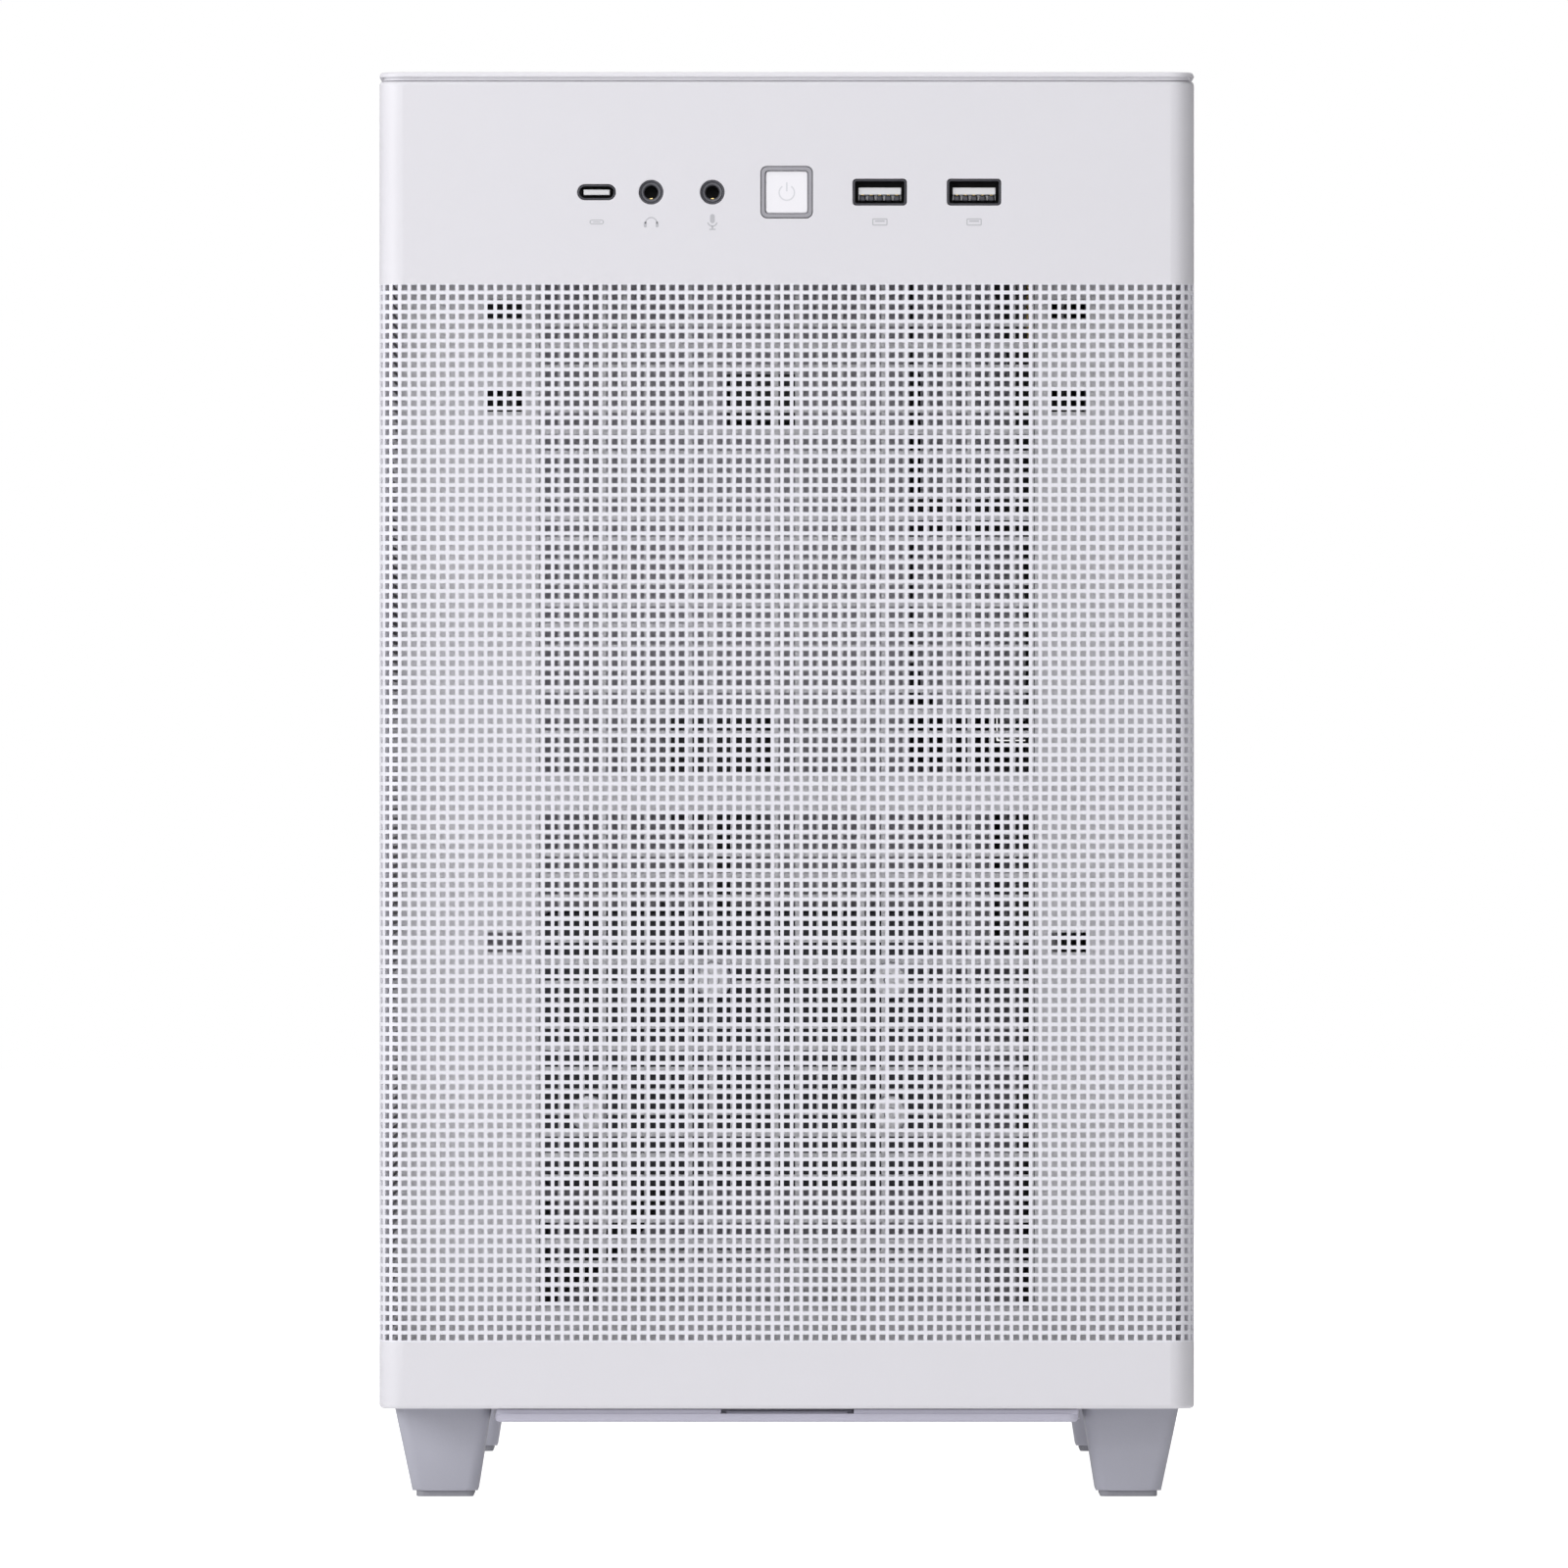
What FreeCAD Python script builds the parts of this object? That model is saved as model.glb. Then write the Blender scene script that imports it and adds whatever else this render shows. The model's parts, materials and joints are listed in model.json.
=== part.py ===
import FreeCAD, Part
import math
import os
import re
import Sketcher

# A micro-ATX desktop tower. X runs to the right as seen from the front, Y to the rear, Z up.
# The origin is on the floor, under the middle of the case. All sizes are in millimetres.

doc = FreeCAD.newDocument("tower")
dims = doc.addObject("Spreadsheet::Sheet", "dims")

DIMENSIONS = {
    # the case as a whole
    "case_width": 205, "case_depth": 460, "case_height": 359,
    "sheet": 1.0, "panel_low": 22.9, "panel_high": 356.8, "floor_low": 24.2,
    # front panel: a shallow tray whose vertical corners are rounded
    "front_wall": 1.2, "front_wrap": 22, "corner_radius": 6, "inner_radius": 4.8,
    # side and top panels
    "panel_gap": 1.0, "top_wall": 1.2,
    # chassis
    "chassis_half": 97.5, "chassis_front_y": -205, "chassis_rear_y": 222, "deck_low": 345,
    "chassis_fold": 12, "tray_left": 80.5, "vent_half": 62.6, "vent_gap": 0.15,
    "vent_upper_low": 182, "vent_upper_high": 307, "vent_lower_low": 48, "vent_lower_high": 173.3,
    # front ports and button
    "port_level": 328.8, "button_side": 10.7, "bezel_outer": 12.8, "bezel_inner": 10.9,
    "plunger_radius": 1.6, "port_gap": 0.15,
    "usb_wide": 13.3, "usb_tall": 6.4, "usb_wall": 0.4, "usb_left": 23.4, "usb_right": 47.1,
    "type_c_centre": -47.8, "type_c_wide": 9.4, "type_c_tall": 3.7,
    "jack_phones": -34.1, "jack_mic": -18.7, "jack_outer": 3.2, "jack_hole": 1.75, "jack_depth": 15,
    # feet and dust filter
    "foot_outer": 99.05, "foot_inner": 74.7, "foot_toe_outer": 94.6, "foot_toe_inner": 78.1,
    "foot_length": 40, "foot_taper": 4, "foot_front_y": -208, "foot_rear_y": 165, "pad_thick": 1.5,
    "filter_half": 73.4, "filter_low": 19.45, "filter_high": 22.7, "filter_front_y": -226,
    "filter_rear_y": 30, "filter_border": 9, "filter_tab": 16,
    # motherboard and what is on it
    "board_face": 72.4, "board_thick": 1.6, "board_low": 96, "board_side": 244, "board_rear_y": 219,
    "slot_pitch": 20.32, "slot_first": 174, "slot_left": -38, "slot_right": 64, "slot_tall": 13,
    "shield_left": 28.3, "shield_right": 72.75, "shield_low": 185, "shield_high": 343.75,
    "cpu_y": 130, "cpu_level": 265, "memory_y": 50, "memory_pitch": 9.4,
    # fans
    "fan_side": 120, "fan_thick": 25, "fan_bore": 58, "fan_hub": 19, "blade_tip": 55.5,
    "rear_fan_x": -36, "rear_fan_level": 281, "card_bore": 42, "card_tip": 39.5,
    # power supply
    "supply_left": -60, "supply_wide": 86, "supply_low": 155, "supply_tall": 150,
    "supply_front_y": -178, "supply_length": 140,
    # drives
    "disk_wide": 101.6, "disk_long": 147, "disk_tall": 26.1, "disk_left": -50, "disk_front_y": -160,
    "disk_low": 36,
    # mains inlet in the rear plate
    "inlet_x": -78, "inlet_level": 58, "inlet_wide": 27, "inlet_tall": 19.5,
}
for row, (alias, value) in enumerate(DIMENSIONS.items(), start=1):
    dims.set("A%d" % row, alias)
    dims.set("B%d" % row, str(value))
    dims.setAlias("B%d" % row, alias)
doc.recompute()

size = DIMENSIONS  # the same numbers, for the few shapes made with Part's own functions
nodes = {}


def bind(text):
    """An expression on the sheet's aliases, from a sum written with the bare alias names."""
    return re.sub(r"[a-z][a-z_]*[a-z]", lambda word: "dims." + word.group(0), str(text))


def node(label, item):
    """Keep an object as a sub-part with its own label, which names its file."""
    item.Label = label
    nodes[label] = item
    return item


def box(name, across, along, upward):
    """A box from three pairs of limits, in X, Y and Z."""
    item = doc.addObject("Part::Box", name)
    sides = (("x", "Length", across), ("y", "Width", along), ("z", "Height", upward))
    for side, length, (low, high) in sides:
        item.setExpression("Placement.Base." + side, bind(low))
        item.setExpression(length, bind("(%s) - (%s)" % (high, low)))
    return item


TURNS = {
    "x": FreeCAD.Rotation(FreeCAD.Vector(0, 1, 0), 90),
    "y": FreeCAD.Rotation(FreeCAD.Vector(1, 0, 0), -90),
    "z": FreeCAD.Rotation(),
}


def rod(name, direction, start, length, radius):
    """A cylinder along one axis, from its start point."""
    item = doc.addObject("Part::Cylinder", name)
    item.Placement = FreeCAD.Placement(FreeCAD.Vector(), TURNS[direction])
    for side, place in zip("xyz", start):
        item.setExpression("Placement.Base." + side, bind(place))
    item.setExpression("Radius", bind(radius))
    item.setExpression("Height", bind(length))
    return item


def ball(name, centre, radius):
    """A sphere, turned so that its seam lies clear of a shank along any axis."""
    item = doc.addObject("Part::Sphere", name)
    item.Placement = FreeCAD.Placement(FreeCAD.Vector(), FreeCAD.Rotation(45, 0, 0))
    for side, place in zip("xyz", centre):
        item.setExpression("Placement.Base." + side, bind(place))
    item.setExpression("Radius", bind(radius))
    return item


def group(name, items):
    """Separate solids kept together."""
    item = doc.addObject("Part::Compound", name)
    item.Links = items
    return item


def join(name, items):
    """Touching pieces joined into one solid."""
    item = doc.addObject("Part::MultiFuse", name)
    item.Shapes = items
    return item


def cut(name, base, tools):
    item = doc.addObject("Part::Cut", name)
    item.Base = base
    item.Tool = tools[0] if len(tools) == 1 else group(name + "_tools", tools)
    return item


def rounded(name, base, radius, edges):
    """The edges of an object at the given indexes, rounded."""
    item = doc.addObject("Part::Fillet", name)
    item.Base = base
    doc.recompute()
    item.Edges = [(index, size[radius], size[radius]) for index in edges]
    return item


def upright_edges(item):
    """The indexes of an object's edges that run along Z."""
    doc.recompute()
    found = []
    for index, edge in enumerate(item.Shape.Edges, start=1):
        span = edge.BoundBox
        if span.XLength < 1e-6 and span.YLength < 1e-6:
            found.append(index)
    return found


def feature(name, shape):
    item = doc.addObject("Part::Feature", name)
    item.Shape = shape
    return item


# Sketch X and Y run along these case axes on each origin plane, and a pad grows along the normal.
PLANES = {"z": ("XY_Plane", 1), "y": ("XZ_Plane", -1), "x": ("YZ_Plane", 1)}


def rectangle(sketch, tag, low_a, low_b, high_a, high_b):
    """A rectangle whose two corners are bound to expressions measured from the origin."""
    first = sketch.GeometryCount
    corners = [FreeCAD.Vector(a, b, 0) for a, b in ((-1, -1), (1, -1), (1, 1), (-1, 1))]
    for index in range(4):
        sketch.addGeometry(Part.LineSegment(corners[index], corners[(index + 1) % 4]), False)
    for index in range(4):
        sketch.addConstraint(Sketcher.Constraint("Coincident", first + index, 2, first + (index + 1) % 4, 1))
        sketch.addConstraint(Sketcher.Constraint(("Horizontal", "Vertical")[index % 2], first + index))
    ends = ((first, 1, "DistanceX", low_a, "left"), (first, 1, "DistanceY", low_b, "low"),
            (first + 1, 2, "DistanceX", high_a, "right"), (first + 1, 2, "DistanceY", high_b, "high"))
    for line, end, kind, place, word in ends:
        start = -1.0 if word in ("left", "low") else 1.0
        constraint = sketch.addConstraint(Sketcher.Constraint(kind, -1, 1, line, end, start))
        sketch.renameConstraint(constraint, tag + word)
        sketch.setExpression("Constraints." + tag + word, bind(place))


def circle(sketch, tag, centre_a, centre_b, radius):
    index = sketch.addGeometry(Part.Circle(FreeCAD.Vector(1, 1, 0), FreeCAD.Vector(0, 0, 1), 1.0), False)
    parts = (("Radius", (index, 1.0), radius, "radius"),
             ("DistanceX", (-1, 1, index, 3, 1.0), centre_a, "across"),
             ("DistanceY", (-1, 1, index, 3, 1.0), centre_b, "up"))
    for kind, where, place, word in parts:
        constraint = sketch.addConstraint(Sketcher.Constraint(kind, *where))
        sketch.renameConstraint(constraint, tag + word)
        sketch.setExpression("Constraints." + tag + word, bind(place))


def plate(label, normal, low, high, outline, windows=(), holes=()):
    """A flat sheet with rectangular windows and round holes: one sketch, padded to its thickness."""
    body = doc.addObject("PartDesign::Body", label)
    sketch = body.newObject("Sketcher::SketchObject", label + "_sketch")
    role, way = PLANES[normal]
    origin_plane = [part for part in body.Origin.OriginFeatures if part.Role == role][0]
    sketch.AttachmentSupport = (origin_plane, [""])
    sketch.MapMode = "FlatFace"
    offset = low if way > 0 else "-(%s)" % high
    sketch.setExpression("AttachmentOffset.Base.z", bind(offset))
    rectangle(sketch, "outline", *outline)
    for index, window in enumerate(windows):
        rectangle(sketch, "window" + "abcdefghijklmnopqrstuvwxyz"[index], *window)
    for index, hole in enumerate(holes):
        circle(sketch, "hole" + "abcdefghijklmnopqrstuvwxyz"[index], *hole)
    pad = body.newObject("PartDesign::Pad", label + "_pad")
    pad.Profile = sketch
    pad.setExpression("Length", bind("(%s) - (%s)" % (high, low)))
    body.Tip = pad
    return body


def tube(name, points, radius, largest_bend=400):
    """A round bar along straight runs joined by tangent arcs, each as wide as its two runs allow."""
    corners = [FreeCAD.Vector(*point) for point in points]
    runs = [(after - before).Length for before, after in zip(corners, corners[1:])]
    room = [run * 0.45 for run in runs]
    # an end run has an arc at one of its ends only
    room[0], room[-1] = runs[0] * 0.85, runs[-1] * 0.85
    edges, bends = [], []
    start = corners[0]
    for index in range(1, len(corners) - 1):
        corner = corners[index]
        inward = (corners[index - 1] - corner).normalize()
        outward = (corners[index + 1] - corner).normalize()
        half = inward.getAngle(outward) / 2
        bend = min(largest_bend, min(room[index - 1], room[index]) * math.tan(half))
        reach = bend / math.tan(half)
        first = corner + inward * reach
        last = corner + outward * reach
        toward = (inward + outward).normalize()
        middle = corner + toward * (bend / math.sin(half) - bend)
        edges.append(Part.LineSegment(start, first).toShape())
        edges.append(Part.Arc(first, middle, last).toShape())
        bends.append("%.0f" % bend)
        start = last
    edges.append(Part.LineSegment(start, corners[-1]).toShape())
    wire = Part.Wire(edges)
    ring = Part.Wire([Part.Circle(corners[0], corners[1] - corners[0], radius).toShape()])
    item = feature(name, wire.makePipeShell([ring], True, False))
    print(name, "length %.0f" % wire.Length, "bends", " ".join(bends),
          "volume ratio %.3f" % (item.Shape.Volume / (math.pi * radius ** 2 * wire.Length)))
    return item


def both(expression):
    """A limit and its mirror image, lowest first."""
    return "-(%s)" % expression, expression


# ---------------------------------------------------------------- chassis
front_in = "chassis_front_y + sheet"
rear_in = "chassis_rear_y - sheet"
floor_in = "floor_low + sheet"

front_slots = []
for side in (1, -1):
    for slot_level, slot_tall in ((300, 4.8), (277, 6), (140, 5)):
        near, far = 71 * side - 5, 71 * side + 5
        front_slots.append((near, slot_level - slot_tall / 2, far, slot_level + slot_tall / 2))
front_windows = [("-vent_half", "vent_upper_low", "vent_half", "vent_upper_high"),
                 ("-vent_half", "vent_lower_low", "vent_half", "vent_lower_high"),
                 (40, 312, 62, 322)]
node("chassis_front", plate("chassis_front", "y", "chassis_front_y", front_in,
                            ("-chassis_half", "floor_low", "chassis_half", "deck_low + sheet"),
                            front_windows + front_slots))

floor_plate = box("floor_plate", both("chassis_half"), (front_in, rear_in), ("floor_low", floor_in))
floor_window = box("floor_window", (-65, 65), (-150, 60), ("floor_low - 1", "floor_low + sheet + 1"))
floor_folds = [box("floor_fold", ("chassis_half * %d - sheet * %d" % (side, side > 0),
                                  "chassis_half * %d + sheet * %d" % (side, side < 0)),
                   (front_in, rear_in), (floor_in, "floor_low + sheet + chassis_fold"))
               for side in (-1, 1)]
node("chassis_floor", join("chassis_floor", [cut("floor_open", floor_plate, [floor_window])] + floor_folds))

deck_plate = box("deck_plate", both("chassis_half"), (front_in, rear_in), ("deck_low", "deck_low + sheet"))
deck_window = box("deck_window", (-62, 62), (-175, 190), ("deck_low - 1", "deck_low + sheet + 1"))
deck_folds = [box("deck_fold", ("chassis_half * %d - sheet * %d" % (side, side > 0),
                                "chassis_half * %d + sheet * %d" % (side, side < 0)),
                  (front_in, rear_in), ("deck_low - chassis_fold", "deck_low")) for side in (-1, 1)]
node("chassis_top", join("chassis_top", [cut("deck_open", deck_plate, [deck_window])] + deck_folds))

slot_windows = []
for index in range(4):
    middle = "slot_first - slot_pitch * %d" % index
    slot_windows.append(("slot_left", middle + " - slot_tall / 2",
                         "slot_right", middle + " + slot_tall / 2"))
rear_windows = slot_windows + [("shield_left", "shield_low", "shield_right", "shield_high"),
                               ("inlet_x - inlet_wide / 2", "inlet_level - inlet_tall / 2",
                                "inlet_x + inlet_wide / 2", "inlet_level + inlet_tall / 2")]
node("chassis_rear", plate("chassis_rear", "y", rear_in, "chassis_rear_y",
                           ("-chassis_half", "floor_low", "chassis_half", "deck_low + sheet"),
                           rear_windows, [("rear_fan_x", "rear_fan_level", "fan_bore")]))

node("motherboard_tray", plate("motherboard_tray", "x", "tray_left", "tray_left + sheet",
                               (-90, floor_in, rear_in, "deck_low"),
                               [(85, 220, 175, 310), (-70, 120, -40, 160), (-70, 240, -40, 280),
                                (20, 60, 60, 80)]))

# perforated inserts: they fill the windows of the front, floor and top plates and the rear fan opening
vents = []
for low, high in (("vent_upper_low", "vent_upper_high"), ("vent_lower_low", "vent_lower_high")):
    vents.append(box("vent", both("vent_half - vent_gap"), ("chassis_front_y", front_in),
                     (low + " + vent_gap", high + " - vent_gap")))
vents.append(box("floor_vent", (-64.8, 64.8), (-149.8, 59.8), ("floor_low", floor_in)))
vents.append(box("deck_vent", (-61.8, 61.8), (-174.8, 189.8), ("deck_low", "deck_low + sheet")))
vents.append(rod("fan_guard", "y", ("rear_fan_x", rear_in, "rear_fan_level"), "sheet",
                 "fan_bore - vent_gap"))
node("chassis_vents", group("chassis_vents", vents))

# ---------------------------------------------------------------- covers
hull = box("front_block", both("case_width / 2"), ("-case_depth / 2", "-case_depth / 2 + front_wrap"),
           ("panel_low", "panel_high"))
hollow = box("front_hollow", both("case_width / 2 - front_wall"),
             ("-case_depth / 2 + front_wall", "-case_depth / 2 + front_wrap + 20"),
             ("panel_low + front_wall", "panel_high - front_wall"))
doc.recompute()


def front_corner_edges(item):
    """The two upright edges of a block that face the front."""
    found = []
    nearest = item.Shape.BoundBox.YMin
    for index in upright_edges(item):
        if abs(item.Shape.Edges[index - 1].BoundBox.YMin - nearest) < 1e-6:
            found.append(index)
    return found


front_tools = [rounded("front_inside", hollow, "inner_radius", front_corner_edges(hollow))]
level = "port_level"
for x in ("usb_left", "usb_right"):
    front_tools.append(box("usb_opening",
                           (x + " - usb_wide / 2 - port_gap", x + " + usb_wide / 2 + port_gap"),
                           ("-case_depth / 2 - 1", "-case_depth / 2 + 3"),
                           (level + " - usb_tall / 2 - port_gap", level + " + usb_tall / 2 + port_gap")))
front_tools.append(box("type_c_opening", ("type_c_centre - type_c_wide / 2 - port_gap",
                                          "type_c_centre + type_c_wide / 2 + port_gap"),
                       ("-case_depth / 2 - 1", "-case_depth / 2 + 3"),
                       (level + " - type_c_tall / 2 - port_gap", level + " + type_c_tall / 2 + port_gap")))
front_tools.append(box("button_opening", both("bezel_outer / 2 + port_gap"),
                       ("-case_depth / 2 - 1", "-case_depth / 2 + 3"),
                       (level + " - bezel_outer / 2 - port_gap", level + " + bezel_outer / 2 + port_gap")))
for x in ("jack_phones", "jack_mic"):
    front_tools.append(rod("jack_opening", "y", (x, "-case_depth / 2 - 1", level), 5,
                           "jack_outer + 2 * port_gap"))
front_skin = rounded("front_rounded", hull, "corner_radius", front_corner_edges(hull))
node("front_panel", cut("front_panel", front_skin, front_tools))

side_front = "-case_depth / 2 + front_wrap + panel_gap"
side_rear = "case_depth / 2 - panel_gap / 2"
for label, limits in (("left_panel", ("-case_width / 2", "sheet - case_width / 2")),
                      ("right_panel", ("case_width / 2 - sheet", "case_width / 2"))):
    node(label, box(label, limits, (side_front, side_rear), ("panel_low + 0.6", "panel_high")))

top_sheet = box("top_sheet", both("case_width / 2"), both("case_depth / 2"),
                ("case_height - top_wall", "case_height"))
node("top_panel", rounded("top_panel", top_sheet, "corner_radius", upright_edges(top_sheet)))

# ball studs on the covers push into ring clips on the chassis
STUD_RADIUS, STUD_BALL, CLIP_OUTER, CLIP_BORE = 1.2, 1.7, 4, 2.5
clips = []


def stud(name, direction, root, reach, ball_back):
    """A shank from its root on the cover, with a ball near its free end."""
    shank = rod(name + "_shank", direction, root, reach, STUD_RADIUS)
    centre = list(root)
    axis = "xyz".index(direction)
    centre[axis] = "%s + %s" % (root[axis], ball_back)
    return join(name, [shank, ball(name + "_ball", centre, STUD_BALL)])


def clip(direction, start, length):
    clips.append(cut("clip", rod("clip_body", direction, start, length, CLIP_OUTER),
                     [rod("clip_bore", direction, start, length, CLIP_BORE)]))


for label, side in (("left", -1), ("right", 1)):
    studs = []
    for y in (-185, 200):
        for z in (31, 339):
            inner = "case_width / 2 - sheet"
            if side < 0:
                root = ("-(%s)" % inner, y, z)
                studs.append(stud("stud", "x", root, 3, 1.9))
                clip("x", ("-(chassis_half + 3.2)", y, z), 3.2)
            else:
                root = (inner + " - 3", y, z)
                studs.append(stud("stud", "x", root, 3, 1.1))
                clip("x", ("chassis_half", y, z), 3.2)
    node(label + "_panel_studs", group(label + "_panel_studs", studs))

studs = []
for x in (-88, 88):
    for z in (34, 338):
        root = (x, "-case_depth / 2 + front_wall", z)
        post = rod("post", "y", root, 18.5, 3.4)
        tip = rod("tip", "y", (x, "-case_depth / 2 + front_wall + 18.5", z), 4.5, STUD_RADIUS)
        knob = ball("knob", (x, "-case_depth / 2 + front_wall + 21.5", z), STUD_BALL)
        studs.append(join("front_stud", [post, tip, knob]))
        clip("y", (x, "chassis_front_y - 3.2", z), 3.2)
node("front_panel_studs", group("front_panel_studs", studs))

studs = []
for x in (-84, 84):
    for y in (-190, 195):
        root = (x, y, "deck_low + sheet + 1")
        post = rod("post", "z", (x, y, "deck_low + sheet + 4.2"),
                   "case_height - top_wall - deck_low - sheet - 4.2", 3)
        tip = rod("tip", "z", root, 4, STUD_RADIUS)
        knob = ball("knob", (x, y, "deck_low + sheet + 2.2"), STUD_BALL)
        studs.append(join("top_stud", [post, tip, knob]))
        clip("z", (x, y, "deck_low + sheet"), 3.2)
node("top_panel_studs", group("top_panel_studs", studs))
node("panel_clips", group("panel_clips", clips))

# ---------------------------------------------------------------- feet and dust filter
feet, pads = [], []
for side in (-1, 1):
    for y in ("foot_front_y", "foot_rear_y"):
        foot = doc.addObject("Part::Wedge", "foot")
        foot.Placement = FreeCAD.Placement(FreeCAD.Vector(), FreeCAD.Rotation(FreeCAD.Vector(1, 0, 0), 90))
        # the wedge grows along its own Y, which points up here, from the toe to the top
        top = ("foot_inner", "foot_outer") if side > 0 else ("-foot_outer", "-foot_inner")
        toe = ("foot_toe_inner", "foot_toe_outer") if side > 0 else ("-foot_toe_outer", "-foot_toe_inner")
        # a property that would cross its partner while the others still have their first values is set last
        wedge_sizes = (("Xmax", "200"), ("X2max", "200"), ("Zmax", "foot_length"), ("Z2max", "foot_length"),
                       ("Xmin", toe[0]), ("Xmax", toe[1]), ("X2min", top[0]), ("X2max", top[1]),
                       ("Ymin", "pad_thick"), ("Ymax", "floor_low"),
                       ("Zmin", "foot_taper"), ("Zmax", "foot_length - foot_taper"),
                       ("Z2min", "0"), ("Z2max", "foot_length"))
        for key, text in wedge_sizes:
            foot.setExpression(key, bind(text))
        foot.setExpression("Placement.Base.y", bind(y + " + foot_length"))
        feet.append(foot)
        pads.append(box("pad", (toe[0] + " + 1", toe[1] + " - 1"),
                        (y + " + foot_taper + 1", y + " + foot_length - foot_taper - 1"), (0, "pad_thick")))
node("feet", group("feet", feet))
node("foot_pads", group("foot_pads", pads))

filter_limits = ("filter_front_y", "filter_rear_y")
filter_block = box("filter_block", both("filter_half"), filter_limits, ("filter_low", "filter_high"))
filter_hole = box("filter_hole", both("filter_half - filter_border"),
                  ("filter_front_y + filter_border + 8", "filter_rear_y - filter_border"),
                  ("filter_low - 1", "filter_high + 1"))
filter_grip = box("filter_grip", both("filter_tab"), ("filter_front_y - 1", "filter_front_y + 6"),
                  ("filter_low + 2.1", "filter_high + 1"))
node("filter_frame", cut("filter_frame", filter_block, [filter_hole, filter_grip]))
node("filter_mesh", box("filter_mesh", both("filter_half - filter_border"),
                        ("filter_front_y + filter_border + 8", "filter_rear_y - filter_border"),
                        ("filter_low + 1.2", "filter_low + 1.6")))
# each rail is an angle under the floor whose foot the filter's side lies on
rails = []
for side in (-1, 1):
    near, far = "filter_half + 0.4", "filter_half + 1.2"
    lip = "filter_half - 2.5"
    web = (near, far) if side > 0 else ("-(%s)" % far, "-(%s)" % near)
    shelf = (lip, far) if side > 0 else ("-(%s)" % far, "-(%s)" % lip)
    rails.append(join("rail", [box("web", web, (-160, 28), ("filter_low - 1.2", "floor_low")),
                               box("shelf", shelf, (-160, 28), ("filter_low - 1.2", "filter_low - 0.3"))]))
node("filter_rails", group("filter_rails", rails))

# ---------------------------------------------------------------- front ports and power button
port_front = "-case_depth / 2"
board_y = "chassis_front_y - 3.2"
node("port_board", box("port_board", (-59, 59), (board_y + " - 1.6", board_y), (316, 342)))
bracket_back = board_y + " - 1.6"
bracket = box("bracket_block", (-60, 60), (port_front + " + 2.6", port_front + " + 4.6"), (313, 344))
bracket_legs = [box("bracket_leg", (low, high), (port_front + " + 4.6", "chassis_front_y"), (313, 344))
                for low, high in ((-60.8, -59), (59, 60.8))]
bracket_holes = []
for x in ("usb_left", "usb_right"):
    bracket_holes.append(box("usb_pass", (x + " - usb_wide / 2", x + " + usb_wide / 2"),
                             (port_front + " + 2", port_front + " + 6"),
                             (level + " - usb_tall / 2", level + " + usb_tall / 2")))
bracket_holes.append(box("type_c_pass",
                         ("type_c_centre - type_c_wide / 2", "type_c_centre + type_c_wide / 2"),
                         (port_front + " + 2", port_front + " + 6"),
                         (level + " - type_c_tall / 2", level + " + type_c_tall / 2")))
for x in ("jack_phones", "jack_mic"):
    bracket_holes.append(rod("jack_pass", "y", (x, port_front + " + 2", level), 4, "jack_outer"))
bracket_holes.append(box("button_pass", both("bezel_outer / 2"), (port_front + " + 2", port_front + " + 6"),
                         (level + " - bezel_outer / 2", level + " + bezel_outer / 2")))
node("port_bracket", cut("port_bracket", join("bracket_solid", [bracket] + bracket_legs), bracket_holes))

shells, tongues = [], []
for x, wide, tall, wall in (("usb_left", "usb_wide", "usb_tall", "usb_wall"),
                            ("usb_right", "usb_wide", "usb_tall", "usb_wall"),
                            ("type_c_centre", "type_c_wide", "type_c_tall", "usb_wall")):
    outside = box("shell_outside", ("%s - %s / 2" % (x, wide), "%s + %s / 2" % (x, wide)),
                  (port_front + " + 0.2", bracket_back),
                  ("%s - %s / 2" % (level, tall), "%s + %s / 2" % (level, tall)))
    inside = box("shell_inside",
                 ("%s - %s / 2 + %s" % (x, wide, wall), "%s + %s / 2 - %s" % (x, wide, wall)),
                 (port_front, port_front + " + 12"),
                 ("%s - %s / 2 + %s" % (level, tall, wall), "%s + %s / 2 - %s" % (level, tall, wall)))
    shells.append(cut("shell", outside, [inside]))
for x in ("usb_left", "usb_right"):
    tongues.append(box("usb_tongue", (x + " - 5.6", x + " + 5.6"),
                       (port_front + " + 1.2", port_front + " + 12"), (level + " + 0.1", level + " + 2.1")))
tongues.append(box("type_c_tongue", ("type_c_centre - 3.3", "type_c_centre + 3.3"),
                   (port_front + " + 1.0", port_front + " + 12"), (level + " - 0.35", level + " + 0.35")))
node("usb_shells", group("usb_shells", shells))
node("usb_tongues", group("usb_tongues", tongues))

jacks = []
for x in ("jack_phones", "jack_mic"):
    jacks.append(cut("jack", rod("jack_body", "y", (x, port_front + " + 0.1", level),
                                 "(%s) - (%s) - 0.1" % (bracket_back, port_front), "jack_outer"),
                     [rod("jack_bore", "y", (x, port_front, level), "jack_depth", "jack_hole")]))
node("audio_jacks", group("audio_jacks", jacks))

ring = box("ring", both("bezel_outer / 2"), (port_front, port_front + " + 8"),
           (level + " - bezel_outer / 2", level + " + bezel_outer / 2"))
ring_hole = box("ring_hole", both("bezel_inner / 2"), (port_front + " - 1", port_front + " + 9"),
                (level + " - bezel_inner / 2", level + " + bezel_inner / 2"))
node("button_bezel", cut("button_bezel", ring, [ring_hole]))
switch_y = port_front + " + 12"
switch_block = box("switch_block", (-6, 6), (switch_y, bracket_back), (level + " - 6", level + " + 6"))
node("power_switch", cut("power_switch", switch_block,
                         [rod("switch_bore", "y", (0, port_front + " + 11", level), 6,
                              "plunger_radius + 0.3")]))
cap = box("cap", both("button_side / 2"), (port_front + " + 0.3", port_front + " + 5"),
          (level + " - button_side / 2", level + " + button_side / 2"))
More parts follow.
